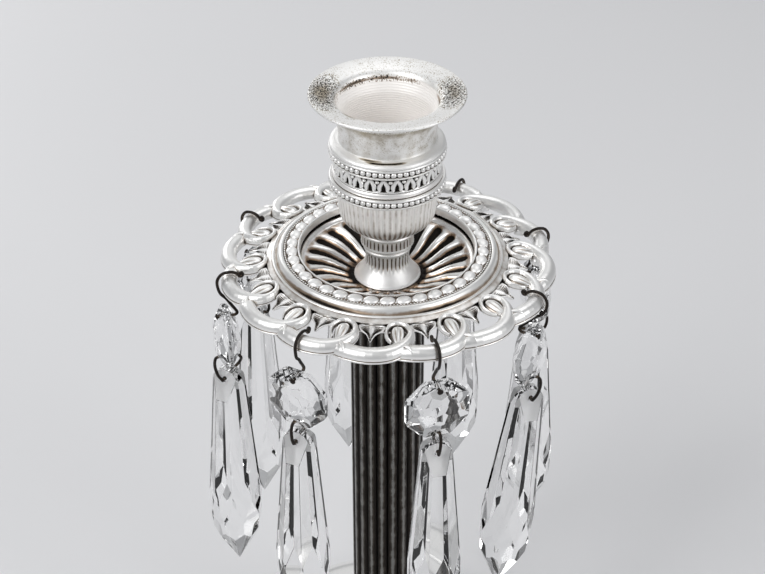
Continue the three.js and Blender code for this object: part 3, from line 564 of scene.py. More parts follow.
def paint(bm, name, rule):
    """Sets a value at each vertex by a rule on its angle, radius, height and upward tilt."""
    bm.normal_update()
    layer = bm.verts.layers.float.get(name) or bm.verts.layers.float.new(name)
    for vert in bm.verts:
        vert[layer] = rule(*around(vert.co), vert.co.z, vert.normal.z)


def bump_at(value, middle, half_width):
    """1 at the middle, falling smoothly to 0 at half a width from it."""
    off = min(abs(value - middle) / half_width, 1)
    return 1 - off * off * (3 - 2 * off)


polished = silver("polished_silver", roughness=0.22)
satin = silver("satin_silver", roughness=0.48, dents=0.15, speckle=1.8, bump=0.5,
               unevenness=0.4, brown=(0.43, 0.38, 0.3, 1))
bright_bore = silver("bore_silver", roughness=0.5, speckle=0.8, bump=0.35, ring_pitch=0.62,
                     color=(0.98, 0.955, 0.93, 1), metallic=0.15)
cast = silver("cast_silver", roughness=0.4, level=0.55, reach=1.4, dents=0.35, bump=0.2)
beaded = silver("beaded_silver", roughness=0.4, level=0.64, reach=0.45)
fluted = silver("fluted_silver", roughness=0.42, level=0.55, reach=0.45, speckle=0.8,
                color=(0.97, 0.955, 0.935, 1))
plump = silver("plump_silver", roughness=0.5, level=0.66, reach=0.5, dents=0.15, speckle=0.7,
               color=PALE_SILVER)
print("silver finishes:", sum("silver" in made.name for made in bpy.data.materials))

# %% [markdown]
# ## The lip of the candle cup
# The lip is spun from sheet: a broad flange with a thin rolled edge, a funnel that leads the
# candle in, and a neck that runs down to a rounded shoulder. All of it is one outline, so
# that a highlight runs from the neck into the flange without a break, as it does on the
# real one.

# %% Spin the lip
lip_foot, lip_top, lip_reach = span("socket_lip")
tube_foot, bore_foot, _ = span("candle_tube")
BORE = 11.0  # radius, for a 22 mm candle
NECK = 11.9
ROLL = 0.42  # radius of the rolled edge
FUNNEL = 12.5
DISH = 0.9  # how far the flange falls to the funnel
FUNNEL_DEPTH = 6.5
shoulder = lip_reach - 4.85
roll_middle = (lip_reach - ROLL, lip_top - ROLL)
lip = turned([
    (NECK + 0.7, lip_foot), (shoulder, lip_foot, 0.1),
    *bezier((shoulder, lip_foot + 0.3), (shoulder - 0.05, lip_foot + 0.9),
            (NECK + 1.4, lip_foot + 1.3), (NECK + 0.55, lip_foot + 1.5), 9),
    (NECK + 0.15, lip_foot + 1.65, 0.1),
    *bezier((NECK, lip_foot + 2.1), (NECK - 0.1, lip_foot + 7.4),
            (NECK + 2.0, lip_top - 2.2), (lip_reach - 1.2, lip_top - 1.0), 26),
    *arc(roll_middle, ROLL, -85, 100, 9),
    *bezier((lip_reach - 1.0, lip_top - 0.05), (lip_reach - 2.8, lip_top - 0.2),
            (FUNNEL + 2.5, lip_top - 0.6 * DISH), (FUNNEL + 1.2, lip_top - DISH), 10),
    *bezier((FUNNEL + 1.0, lip_top - DISH - 0.1), (FUNNEL + 0.35, lip_top - DISH - 0.5),
            (FUNNEL + 0.05, lip_top - DISH - 0.9), (FUNNEL - 0.1, lip_top - DISH - 1.7), 10),
    *bezier((FUNNEL - 0.15, lip_top - DISH - 1.9), (FUNNEL - 0.5, lip_top - 4.2),
            (BORE, lip_top - 5.0), (BORE, lip_top - FUNNEL_DEPTH), 14),
    (BORE, bore_foot), (NECK - 0.1, bore_foot),
])
print("lip:", len(lip.faces), "faces")

# %% [markdown]
# Years of candles have marked the lip: stipple on both sides of the flange, a streak of
# smoke round the back of the funnel, dark bands at the neck's foot. Noise alone would put
# marks anywhere, so rules on the angle, the radius and the height say where each one lies.
# The wall of the funnel is chalky and faintly pink, a second finish on faces of its own.

# %% Paint the smoke and the stains
SIDE_STAINS = ((-90, 56, 1.9), (90, 50, 1.6))  # middle in degrees, half width, strength
BACK_STAINS = ((-138, 50, 1.0), (-175, 45, 0.9), (155, 35, 0.6))
FRONT_SMUDGE = (-40, 28)  # middle and half width in degrees
STIPPLE = (15.9, 5.6)  # middle radius and half width
STREAK = lip_top - 2.6  # height of the smoke streak on the back of the funnel


def turned_from(degrees, middle):
    return (degrees - middle + 180) % 360 - 180


def at_angles(degrees, marks):
    return max(share * bump_at(turned_from(degrees, middle), 0, width)
               for middle, width, share in marks)


def lip_stain(degrees, radius, height, tilt):
    """Stipple at both sides of the flange, and smoke along the back of the funnel."""
    if tilt < 0.05 and radius > NECK - 0.2 and lip_foot + 1.7 < height < lip_top - 1.4:
        return 0.42 + 0.2 * bump_at(height, lip_top - 3.5, 2.5)
    if tilt < 0.05 and radius > FUNNEL + 0.1 or height < lip_top - FUNNEL_DEPTH:
        return 0.0
    side = min(at_angles(degrees, SIDE_STAINS) * bump_at(radius, *STIPPLE), 1.5)
    flange = 0.4 if radius > FUNNEL + 0.3 else 0.0
    behind = 1.3 * at_angles(degrees, BACK_STAINS) * bump_at(height, STREAK, 1.5)
    return max(side, flange, behind if radius < FUNNEL + 0.6 else 0.0)


def lip_groove(degrees, radius, height, tilt):
    """Tan tarnish on the neck, dark bands at its foot, the streak and a smudge in front."""
    if height > lip_top - DISH - 0.2 and radius > FUNNEL + 0.8:
        smudge = 0.5 * bump_at(turned_from(degrees, FRONT_SMUDGE[0]), 0, FRONT_SMUDGE[1])
        shade = 0.29 * at_angles(degrees, SIDE_STAINS) * bump_at(radius, *STIPPLE)
        return max(smudge * bump_at(radius, FUNNEL + 1.2, 1.6), min(shade, 0.52))
    if radius < FUNNEL + 0.8 and height > STREAK - 3 and tilt > -0.02:
        return (0.8 * at_angles(degrees, BACK_STAINS) * bump_at(height, STREAK, 0.8)
                + 0.7 * bump_at(turned_from(degrees, 88), 0, 40) * bump_at(height, STREAK, 1.2))
    beside_neck = (0.85 * bump_at(degrees, -20, 26) * bump_at(radius, NECK + 0.55, 0.75)
                   if height < lip_foot + 2.6 else 0.0)
    if radius < NECK + 2.2 and height > lip_foot + 1.7 and radius > NECK - 0.2:
        tan = 0.34 + 0.12 * bump_at(height, lip_top - 4.2, 3.0)
        return max(tan, beside_neck)
    if height < lip_foot + 1.8 and tilt > 0.1:
        line = 0.95 * min(1.8 * bump_at(degrees, -1, 32), 1) * bump_at(radius, 13.1, 0.65)
        return max(line, beside_neck)
    return 0.0


paint(lip, "stain", lip_stain)
paint(lip, "groove", lip_groove)
for face in lip.faces:
    middle = face.calc_center_median()
    inwards = face.normal.xy.dot(middle.xy) < -0.1
    face.material_index = int(inwards and bore_foot < middle.z < STREAK + 0.4)
finish("spun_lip", lip, satin, "socket_lip", second=bright_bore)

# %% [markdown]
# The candle stands in a pale sleeve, a tube with a floor. It could be part of the lip, but
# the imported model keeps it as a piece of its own. Its outline is left open at the axis,
# where the spin closes it by itself.

# %% Turn the candle's sleeve
tube = turned([
    (0, tube_foot), (BORE + 0.4, tube_foot, 0.2), (BORE + 0.5, tube_foot + 0.6),
    (BORE + 0.5, bore_foot), (BORE, bore_foot), (BORE, tube_foot + 0.5), (0, tube_foot + 0.5),
], closed=False)
finish("candle_bore", tube, bright_bore, "candle_tube")

# %% [markdown]
# ## The bead rings
# Two rings of beading close the ornamental band, one above and one below it. A real beaded
# wire is rolled between two plain fillets, so each ring is a turned body with a channel and
# a row of round beads lying in it. The dark dots of the photograph are the gaps between
# the beads. A bump map would give the dots but not the scalloped outline against the light,
# so each bead is a small sphere of few faces.

# %% Turn the rings and lay the beads
BEAD_COUNT = 58
BEAD_RADIUS = 0.77
CHANNEL_HALF = 0.64  # half the height of the channel's floor


def bead(radius, place, round_it=12, along=7):
    bm = bmesh.new()
    bmesh.ops.create_uvsphere(bm, u_segments=round_it, v_segments=along, radius=radius,
                              matrix=Matrix.Translation(place))
    return bm


def beading(name, node, bore):
    foot, top, reach = span(node)
    middle = (foot + top) / 2
    channel = reach - 0.8 * BEAD_RADIUS
    fillet = reach - 0.16
    body = turned([
        (bore, foot), (fillet - 0.15, foot, 0.15), (fillet, foot + 0.3, 0.1),
        (fillet, middle - CHANNEL_HALF - 0.12, 0.08), (channel, middle - CHANNEL_HALF),
        (channel, middle + CHANNEL_HALF), (fillet, middle + CHANNEL_HALF + 0.12, 0.08),
        (fillet, top - 0.3, 0.1), (fillet - 0.15, top, 0.15), (bore, top),
    ])
    paint(body, "groove", lambda degrees, radius, height, tilt:
          1.0 if abs(radius - channel) < 0.05 else 0.0)
    beads = all_round(bead(BEAD_RADIUS, polar(reach - BEAD_RADIUS, 0, middle)), BEAD_COUNT)
    finish(name, join(body, beads), beaded, node)


drum = span("frieze_band")[2] - 0.3
drum_bore = drum - 1.2
beading("upper_beading", "upper_bead_ring", drum_bore)
beading("lower_beading", "lower_bead_ring", drum - 0.1)

# %% [markdown]
# ## The ornamental band
# Between the bead rings runs a row of pointed arches with a dot between each two, in relief
# on a blackened ground. One half of an arch is a thin rounded strap pushed along its outline,
# and the other is the same with X turned over. The arch is drawn flat, with X along the
# band, and then wrapped round the cup, because an arch is easier to draw on paper than on
# a curved wall.

# %% Make the band of arches
ARCH_COUNT = 25
ARCH_HALF_OUTLINE = [  # share of the pitch from its middle, share of the height, half width
    (0.0, 0.82, 0.34), (0.09, 0.72, 0.45), (0.185, 0.58, 0.53), (0.275, 0.43, 0.57),
    (0.295, 0.29, 0.56), (0.27, 0.17, 0.42), (0.37, 0.09, 0.34), (0.5, 0.06, 0.26),
]
ARCH_TURN = -4.1  # degrees that the first arch stands off the front
ARCH_RISE = 0.38
band_foot, band_top, band_reach = span("frieze_band")
ground = band_reach - 0.5
pitch = FULL_TURN * band_reach / ARCH_COUNT
tall = band_top - band_foot


def wrapped(bm, radius):
    """Wraps a flat drawing (X along, Y outwards, Z up) round an upright cylinder."""
    for vert in bm.verts:
        x, out, height = vert.co
        vert.co = polar(radius + out, math.degrees(x / radius), height)
    return bm


def strap(points, side):
    """A rounded strap along (x, z, half width) on the flat, half sunk into the ground."""
    places = [Vector((side * x, 0.1, z)) for x, z, _ in points]
    return swept(round_section(8), [
        frame_at(place, ahead, up=(0, 1, 0), wide=width, high=ARCH_RISE)
        for place, ahead, (_, _, width) in zip(places, headings(places), points)])


half = smooth_path([(x * pitch, band_foot + z * tall, w) for x, z, w in ARCH_HALF_OUTLINE], 3)
arch = join(strap(half, 1), strap(half, -1))
dot = bead(1, (0, 0, 0), 12, 8)
bmesh.ops.scale(dot, vec=(0.55, 0.45, 0.42), verts=dot.verts[:])
bmesh.ops.translate(dot, vec=(0.5 * pitch, 0.1, band_foot + 0.69 * tall), verts=dot.verts[:])
join(arch, dot)
arches = all_round(wrapped(arch, ground), ARCH_COUNT, ARCH_TURN)
band = turned([
    (drum_bore, band_foot), (band_reach, band_foot, 0.08), (band_reach, band_foot + 0.28, 0.1),
    (ground, band_foot + 0.36), (ground, band_top - 0.3), (band_reach, band_top - 0.24, 0.08),
    (band_reach, band_top), (drum_bore, band_top),
])
paint(band, "groove", lambda degrees, radius, height, tilt:
      1.0 if radius < ground + 0.05 else 0.0)
finish("arcaded_band", join(band, arches), beaded, "frieze_band")

# %% [markdown]
# ## The bowl of the cup
# The bowl is raised with fine upright flutes that run together towards a ribbed waist. One
# flute could be modelled and spun, but it would need a seam where the flutes fade into
# plain metal. So the bowl is turned plain, and every vertex is pressed in or left by a rule
# on its angle. The same wave is kept in the groove attribute, so that the silver knows
# where the flutes are.

# %% Turn and flute the bowl
FLUTES = 56
FLUTE_DEPTH = 0.22
bowl_foot, bowl_top, ledge_reach = span("cup_bowl")
lower_bead_foot, lower_bead_top, _ = span("lower_bead_ring")
WAIST_RIBS, WAIST_RADIUS = 36, 6.6
ROD_HOLE = 3.3  # radius of the hole for the rod that pulls the stick together
BOWL_PROFILE = [  # radius, and height above the foot of this piece
    (7.0, 3.7), (8.1, 4.4), (9.3, 5.2), (10.3, 6.0), (11.2, 7.0), (11.8, 8.1), (12.05, 9.5),
    (12.2, 11.5), (12.5, 14.0),
]


def scallop(degrees, count):
    """0 on the crest between two flutes and 1 in the middle of a flute."""
    return abs(math.sin(math.radians(degrees * count / 2))) ** 0.8


def hump(height, low, high):
    share = min(max((height - low) / (high - low), 0), 1)
    return math.sin(math.pi * share) ** 0.5


def ribbed(bm, count, depth, fade, radius_over=4.0):
    """Presses grooves between ribs. Fade gives how strong they are at a height."""
    def rib(degrees, radius, height):
        if radius < radius_over:
            return None
        wave = (0.5 + 0.5 * math.cos(math.radians(degrees * count))) ** 2 * fade(height)
        return min(0.85 * wave, 1), depth * wave, 0
    return pressed(bm, rib)


marks = [(radius, 0, bowl_foot + rise) for radius, rise in BOWL_PROFILE]
wall = [(p.x, p.z) for p in smooth_path([*marks, (drum - 0.25, 0, lower_bead_foot)], 3)]
bowl = turned([
    (ROD_HOLE, bowl_foot), *[(WAIST_RADIUS, z) for z in rows(bowl_foot, bowl_foot + 2.3, 7)],
    *arc((WAIST_RADIUS - 0.1, bowl_foot + 3.0), 0.62, -70, 60, 6), *wall,
    (drum - 0.9, lower_bead_foot), (drum - 0.9, lower_bead_top),
    (ledge_reach - 0.2, lower_bead_top, 0.1), (ledge_reach, lower_bead_top + 0.4, 0.3),
    (ledge_reach, bowl_top - 0.5, 0.3), (ledge_reach - 0.35, bowl_top - 0.1, 0.1),
    (drum_bore, bowl_top), (drum_bore, lower_bead_foot - 0.6), (10.8, bowl_foot + 9.0),
    (5.95, bowl_foot + 4.4), (5.95, bowl_foot + 1.5), (ROD_HOLE, bowl_foot + 1.5),
], segments=8 * FLUTES)
ribbed(bowl, WAIST_RIBS, 0.3, lambda z: hump(z, bowl_foot - 0.6, bowl_foot + 2.5)
       if z < bowl_foot + 2.5 else 0.0, radius_over=6.3)


def flute(degrees, radius, height):
    """Flutes on the outer wall alone, deeper and darker towards the waist."""
    outer = next((r for r, z in wall if z > height - 0.001), drum)
    if not wall[0][1] < height < lower_bead_foot + 0.01 or radius < outer - 0.4:
        return None
    wave = scallop(degrees, FLUTES)
    low_down = (1 - min((height - wall[0][1]) / 6, 1)) ** 1.3
    return wave * (0.37 + 0.5 * low_down), FLUTE_DEPTH * wave * (1 + 0.8 * low_down), 0


finish("fluted_bowl", pressed(bowl, flute), fluted, "cup_bowl")

# %% [markdown]
# ## The collar and the flared foot
# The waist ends in a small collar, a plain ring and a neck with narrow ribs, which spreads
# into a flared foot as plain as a bell. They are two turned pieces, as on the real one, and
# the same rule that ribbed the waist ribs their necks.

# %% Make the collar and the foot
RIBS = 32
collar_foot, collar_top, _ = span("ribbed_collar")
foot_foot, _, foot_reach = span("cup_foot")
NECK_RADIUS = 5.5

collar = turned([
    (ROD_HOLE, collar_foot), (NECK_RADIUS + 0.1, collar_foot),
    *[(NECK_RADIUS + 0.1, z) for z in rows(collar_foot + 0.1, collar_foot + 0.6, 3)],
    *arc((NECK_RADIUS - 0.1, collar_foot + 1.5), 0.62, -70, 60, 6),
    (NECK_RADIUS + 0.15, collar_foot + 2.3, 0.1), (WAIST_RADIUS - 0.2, collar_top - 0.9, 0.15),
    (WAIST_RADIUS + 0.1, collar_top - 0.5, 0.15), (WAIST_RADIUS - 0.05, collar_top),
    (ROD_HOLE, collar_top),
], segments=8 * RIBS)
ribbed(collar, RIBS, 0.2, lambda z: 1.0 if z < collar_foot + 0.7 else 0.0)
finish("ribbed_knop", collar, satin, "ribbed_collar")

foot = turned([
    (ROD_HOLE, foot_foot), (foot_reach, foot_foot, 0.1), (foot_reach, foot_foot + 0.35, 0.15),
    (foot_reach - 0.35, foot_foot + 0.6, 0.1),
    *bezier((foot_reach - 0.5, foot_foot + 0.7), (foot_reach - 1.4, foot_foot + 2.2),
            (NECK_RADIUS + 0.4, foot_foot + 2.9), (NECK_RADIUS, foot_foot + 5.1), 16),
    *[(NECK_RADIUS, z) for z in rows(foot_foot + 5.4, collar_foot, 5)], (ROD_HOLE, collar_foot),
], segments=8 * RIBS)
ribbed(foot, RIBS, 0.22, lambda z: min(max((z - foot_foot - 3.2) / 1.6, 0), 1))
bell = silver("bell_silver", roughness=0.48, level=0.6, speckle=0.9, bump=0.25,
              color=PALE_SILVER)
finish("flared_foot", foot, bell, "cup_foot")

# %% [markdown]
# ## The drip pan
# The well of the pan is pressed with swirling flutes, and decades of polishing have left
# their crests bright and their valleys almost black. Each valley keeps about the same
# share of the way round, narrows towards the cup's foot and ends in a round below the rim.
# The sheet is turned as one outline and pressed by a rule on the angle and the radius. A
# relief in the material alone would stay flat where the eye looks along the pan.

# %% Press the drip pan
VALLEYS = 24
VALLEY_SPREAD = 0.0864  # half a valley's width as a share of its radius
VALLEY_DEPTH = 0.95
VALLEY_END = 20.5  # radius of the rounded outer ends
SWIRL_FROM, SWIRL = 12.0, 0.52  # radius where the valleys bend, degrees to each millimetre
SWIRL_TURN = -1.5  # degrees that the first valley stands off the front
CROWN = 0.75  # how far the ridges are pressed up
FOOT_SHADOW_SIDES = ((-85, 65, 1.0), (85, 65, 1.0))  # middle in degrees, half width, strength
PAN_SHEET = 0.8
pan_foot, _, pan_reach = span("drip_pan")
hub_top = pan_foot + PAN_SHEET
HUB = 9.0
WALL_FOOT, WALL_TOP = 20.6, 21.6  # radii
WALL_HEIGHT = 1.9
pan_lip_top = span("rim_moulding")[1] - 2.0


def well_height(radius):
    """An even slope from the hub, then a quarter-round wall up to the rim."""
    slope = pan_lip_top - WALL_HEIGHT - hub_top
    share = min(max((radius - HUB) / (WALL_FOOT - HUB), 0), 1)
    up_wall = min(max((radius - WALL_FOOT) / 1.2, 0), 1)
    return hub_top + slope * share + WALL_HEIGHT * (1 - math.sqrt(1 - up_wall**2))


def swirl(radius):
    """Degrees that a valley has turned at a radius."""
    return SWIRL * max(radius - SWIRL_FROM, 0) + SWIRL_TURN


def valley(degrees, radius):
    """How deep a place lies in a valley, from 0 on a crest to 1."""
    if not HUB < radius < VALLEY_END:
        return 0.0
    step = 360 / VALLEYS
    off = (degrees - swirl(radius) + step / 2) % step - step / 2
    across = radius * math.radians(off)
    near = min((radius - HUB) / 0.5, 1)
    half_width = VALLEY_SPREAD * radius
    to_end = VALLEY_END - radius
    if to_end < half_width:
        half_width = math.sqrt(max(half_width**2 - (half_width - to_end) ** 2, 1e-6))
    floor = max(1 - (across / half_width) ** 2, 0)
    return floor * near * min(to_end / 0.9, 1) ** 0.5


def crown(degrees, radius):
    """How far the ridge between two valleys is pressed up, in millimetres."""
    ridge = 0.5 - 0.5 * math.cos(math.radians((degrees - swirl(radius)) * VALLEYS))
    return CROWN * ridge * bump_at(radius, 15.6, 5.6)


def well(degrees, radius, height):
    """Black valleys between raised ridges, a dark line at the wall, and a painted shadow of the
    cup's foot round the hub, darkest at the sides.
    """
    deep = valley(degrees, radius)
    # Painted shadow of the cup's foot round the hub, deeper at the left and right.
    hub_shadow = (0.2 + 0.6 * at_angles(degrees, FOOT_SHADOW_SIDES)) * bump_at(radius, HUB, 2.2)
    dark = max(deep, 0.22 * bump_at(radius, WALL_FOOT - 0.3, 1.2), hub_shadow)
    return dark, 0, crown(degrees, radius) - VALLEY_DEPTH * deep


radii = [*rows(HUB, VALLEY_END + 0.2, 32), *rows(WALL_FOOT, WALL_TOP, 6)]
sheet_top = [(r, well_height(r)) for r in radii]
sheet_under = [(r, z - PAN_SHEET) for r, z in [*sheet_top[::3], (WALL_TOP, pan_lip_top)]]
pan = turned([
    (ROD_HOLE, hub_top), *sheet_top, (pan_reach, pan_lip_top, 0.1),
    (pan_reach, pan_lip_top - PAN_SHEET, 0.1), *reversed(sheet_under), (ROD_HOLE, pan_foot),
], segments=18 * VALLEYS)
well_silver = silver("well_silver", roughness=0.3, level=0.32, unevenness=0.5,
                     brown=(0.36, 0.25, 0.17, 1))
finish("swirled_pan", pressed(pan, well), well_silver, "drip_pan")

# %% [markdown]
# ## The rim of the pan
# The rim is a turned moulding: an inner lip, a channel for the gadroon ring, a convex
# moulding, a groove and a thin fillet at the edge. All of it is one outline again. A milled
# line of tiny dots runs along the inner side of the convex moulding, as real beads.

# %% Turn the rim and mill its dotted line
MILLED_DOTS = 200
rim_foot, rim_top, rim_reach = span("rim_moulding")
gadroon_foot, _, gadroon_reach = span("gadroon_ring")
RIM_IN, CHANNEL_IN = 21.9, 22.5  # radii
DARK_SPANS = ((-35, 34, 0.45), (28, 30, 0.4), (150, 60, 0.3))  # where the groove is darkest
channel_out = gadroon_reach + 0.1
rim = turned([
    (RIM_IN, rim_top - 2.1), (RIM_IN, rim_top - 0.5, 0.2), (22.15, rim_top - 0.05, 0.15),
    (CHANNEL_IN, rim_top - 0.1, 0.1), (CHANNEL_IN + 0.1, gadroon_foot),
    (channel_out, gadroon_foot), (channel_out + 0.15, rim_top - 0.8, 0.1),
    (channel_out + 0.75, rim_top - 0.9, 0.1),
    *bezier((channel_out + 0.85, rim_top - 0.8), (channel_out + 1.2, rim_top - 0.15),
            (channel_out + 2.0, rim_top - 0.5), (channel_out + 2.35, rim_top - 1.65), 8),
    (channel_out + 2.75, rim_top - 2.2, 0.15), (channel_out + 3.1, rim_top - 2.1, 0.1),
    (channel_out + 3.35, rim_top - 1.9, 0.12), (channel_out + 3.75, rim_top - 2.2, 0.15),
    *bezier((channel_out + 3.85, rim_top - 2.5), (channel_out + 4.3, rim_top - 2.8),
            (rim_reach - 0.4, rim_top - 2.8), (rim_reach - 0.1, rim_top - 3.0), 4),
    (rim_reach - 0.1, rim_foot, 0.15), (pan_reach + 0.3, rim_foot),
    (pan_reach + 0.3, rim_top - 1.98), (RIM_IN, rim_top - 1.98),
])


def rim_groove(degrees, radius, height, tilt):
    """Dirt at the milled line, in the broad groove and in the fine one, and a darker outer plate.
    """
    if height < rim_top - 3.1:
        return 0.0
    beyond = radius - channel_out
    broad = (0.52 + at_angles(degrees, DARK_SPANS)) * bump_at(beyond, 2.62, 0.75)
    return max(0.7 * bump_at(beyond, 0.3, 0.35), broad, 0.45 * bump_at(beyond, 3.8, 0.25),
               0.36 if beyond > 4.0 else 0.0)


paint(rim, "groove", rim_groove)
dots = all_round(bead(0.27, polar(channel_out + 0.5, 0, rim_top - 0.78), 8, 5), MILLED_DOTS)
finish("pan_rim", join(rim, dots), cast, "rim_moulding")

# %% [markdown]
# ## The gadroon ring
# The gadroons are slanted plump ovals that almost touch, with a tiny dot between each two
# at their outer ends. One oval is a flattened sphere, cut off at the channel's floor so that
# nothing hangs below it, and the rest are copies round the axis.

# %% Set the gadroons round the channel
GADROONS = 38
GADROON_SLANT = 12  # degrees
middle = (CHANNEL_IN + channel_out) / 2
lobe = bmesh.new()
bmesh.ops.create_uvsphere(lobe, u_segments=28, v_segments=14, radius=1)
bmesh.ops.scale(lobe, vec=(2.03, 1.6, 1.1), verts=lobe.verts[:])
bmesh.ops.rotate(lobe, verts=lobe.verts[:], cent=(0, 0, 0),
                 matrix=Matrix.Rotation(math.radians(GADROON_SLANT), 3, "Z"))
bmesh.ops.translate(lobe, vec=polar(middle, 0, gadroon_foot + 0.1), verts=lobe.verts[:])
bmesh.ops.bisect_plane(lobe, geom=lobe.verts[:] + lobe.edges[:] + lobe.faces[:],
                       plane_co=(0, 0, gadroon_foot), plane_no=(0, 0, -1), clear_outer=True)
bmesh.ops.holes_fill(lobe, edges=lobe.edges[:])
pearl = bead(0.24, polar(middle + 1.0, 180 / GADROONS, gadroon_foot + 0.4), 8, 5)
gadroons = all_round(join(lobe, pearl), GADROONS)
bed = turned([
    (CHANNEL_IN + 0.12, gadroon_foot), (channel_out - 0.1, gadroon_foot),
    (channel_out - 0.2, gadroon_foot + 0.3), (CHANNEL_IN + 0.2, gadroon_foot + 0.3),
])
paint(bed, "groove", lambda degrees, radius, height, tilt: 0.6)
finish("gadroons", join(bed, gadroons), plump, "gadroon_ring")

# %% [markdown]
# ## The scroll border
# The border is the showpiece of the pan: sixteen cast scrolls, each a convex arm that starts
# under the bend of the last one, runs along the edge, bends in, and curls over the rim into
# a volute that holds a ribbed bud. Between two volutes hangs a pointed leaf.
# One link is modelled and then repeated round the axis. Its arm is a section pushed along
# a smooth path, whose width and height change on the way, and one level of subdivision
# melts its facets together as casting and polishing do.

# %% Shape one link of the border
LINKS = 16
LINK_STEP = 360 / LINKS
FIRST_VOLUTE = 4.1  # degrees from the front
ARM_HALF_WIDTH, ARM_HALF_HEIGHT = 2.1, 1.8
arm_height = max(joint["pos_m"][2] for joint in frame["joints"]) / MM
ARM_SECTION = [  # inwards and upwards, in shares; the outer foot carries a fine bead
    (0.92, -0.62), (1.0, -0.1), (0.88, 0.42), (0.5, 0.86), (0.0, 1.0), (-0.45, 0.88),
    (-0.8, 0.5), (-0.96, 0.02), (-0.95, -0.36), (-0.85, -0.46), (-0.99, -0.56),
    (-0.97, -0.8), (-0.76, -0.92), (0.5, -0.82),
]
BEAD_LINE = (9,)  # the corner of the section that lies in the line above the bead
ARM_PATH = [  # share of the step from the volute, radius, lift, shares of width and height
    (-1.14, 37.2, -1.3, 0.62, 0.55), (-0.99, 38.3, -0.6, 0.92, 0.88),
    (-0.79, 39.6, -0.1, 1.0, 1.0), (-0.5, 40.4, 0.0, 1.0, 1.0),
    (-0.22, 39.9, 0.05, 1.0, 1.0), (-0.01, 38.5, 0.25, 0.92, 0.95),
    (0.16, 36.3, 0.65, 0.66, 0.86), (0.24, 33.8, 1.1, 0.46, 0.76), (0.17, 31.4, 1.5, 0.36, 0.7),
    (0.01, 30.5, 1.7, 0.32, 0.65), (-0.13, 31.2, 1.65, 0.28, 0.58), (-0.2, 33.0, 1.35, 0.22, 0.5),
    (-0.18, 35.0, 0.95, 0.16, 0.4), (-0.11, 36.4, 0.6, 0.1, 0.28),
]


def link_place(share, radius, lift):
    return polar(radius, share * LINK_STEP, arm_height + lift)


path = smooth_path(ARM_PATH, 3)
places = [link_place(*point[:3]) for point in path]
stations = []
for point, place, ahead in zip(path, places, headings(places)):
    ahead.z *= 0.4
    stations.append(frame_at(place, ahead, wide=point[3] * ARM_HALF_WIDTH,
                             high=point[4] * ARM_HALF_HEIGHT))
link = swept(ARM_SECTION, stations, sunk=BEAD_LINE)
print("arm:", len(stations), "stations,", len(link.faces), "faces")

# %% [markdown]
# The bud in the volute is a long ribbed drop. It could be swept too, but a sphere drawn out
# and pressed in between its ribs closes itself at both ends.

# %% Add the bud
BUD_RIBS = 8
bud = bmesh.new()
bmesh.ops.create_uvsphere(bud, u_segments=36, v_segments=12, radius=1)
groove = groove_layer(bud)
for vert in bud.verts:
    turn = math.atan2(vert.co.y, vert.co.x)
    valley_share = (0.5 - 0.5 * math.cos(BUD_RIBS * turn)) * math.sqrt(max(1 - vert.co.z**2, 0))
    vert[groove] = 0.5 * valley_share
    vert.co.xy *= (1 - 0.14 * valley_share) * (1.05 - 0.25 * vert.co.z)
start, tip = link_place(0.01, 31.3, 1.5), link_place(0.0, 37.9, 0.35)
bmesh.ops.transform(bud, verts=bud.verts[:],
                    matrix=frame_at((start + tip) / 2, tip - start, wide=1.75, high=1.3)
                    @ Matrix.Diagonal((1, 1, (tip - start).length / 2, 1)))
join(link, bud)
print("bud:", round((tip - start).length, 1), "mm long")

# %% [markdown]
# The cuff is a strap that wraps the start of each arm on the slant and ends in a small
# knob, like the turned-over edge of a leaf. It hides the seam between two arms, as the
# solder of the real one is hidden. Up is away from the arm, so the strap lies flat on it.

# %% Wrap the cuff
CUFF_RADIUS = 39.1  # of the arm's middle there
CUFF = [  # share of the step, step in from the arm's middle, lift, half width
    (-0.96, 2.0, -0.6, 0.36), (-0.97, 1.75, 0.7, 0.62), (-0.93, 0.8, 1.3, 0.62),
    (-0.87, -0.4, 1.4, 0.52), (-0.83, -1.4, 0.95, 0.42), (-0.82, -2.0, -0.1, 0.34),
    (-0.84, -1.9, -1.1, 0.22),
]
path = smooth_path([(s, CUFF_RADIUS - step, lift, w) for s, step, lift, w in CUFF], 3)
places = [link_place(*point[:3]) for point in path]
arm_middle = link_place(-0.9, CUFF_RADIUS, -0.4)
join(link, swept(round_section(8), [
    frame_at(place, ahead, up=place - arm_middle, wide=point[3], high=0.5)
    for point, place, ahead in zip(path, places, headings(places))]))
join(link, bead(0.66, link_place(-0.95, 37.2, 0.6), 12, 8))
print("cuff:", len(places), "stations")

# %% [markdown]
# The leaf is a bracket with a raised edge and a rib to its tip. It could be carved from a
# plate, but one section that has the edge, the web and the rib is pushed outwards from the
# rim and narrowed on the way. Then the link is whole and goes round the axis.

# %% Add the leaf between two volutes
LEAF_SECTION = [
    (1.0, -0.6), (1.0, 0.35), (0.84, 0.5), (0.66, -0.15), (0.2, -0.15), (0.0, 0.35),
    (-0.2, -0.15), (-0.66, -0.15), (-0.84, 0.5), (-1.0, 0.35), (-1.0, -0.6),
]
LEAF_WEB = (3, 4, 6, 7)  # the sunk corners of that section
WEB_DARKNESS = 0.42
LEAF_SHARE = -0.48
LEAF_HALF_HEIGHT = 0.95
LEAF_OUTLINE = [  # radius, lift, half width
    (30.2, 1.2, 3.4), (31.4, 1.1, 3.3), (32.2, 1.0, 2.9), (32.8, 0.85, 2.0),
    (33.3, 0.7, 1.25), (34.1, 0.5, 0.75), (35.4, 0.05, 0.12),
]
marks = smooth_path(LEAF_OUTLINE, 2)
places = [link_place(LEAF_SHARE, mark.x, mark.y) for mark in marks]
leaf = swept(LEAF_SECTION, [
    frame_at(place, ahead, wide=max(mark.z, 0.1), high=LEAF_HALF_HEIGHT)
    for mark, place, ahead in zip(marks, places, headings(places))], sunk=LEAF_WEB)
groove = groove_layer(leaf)
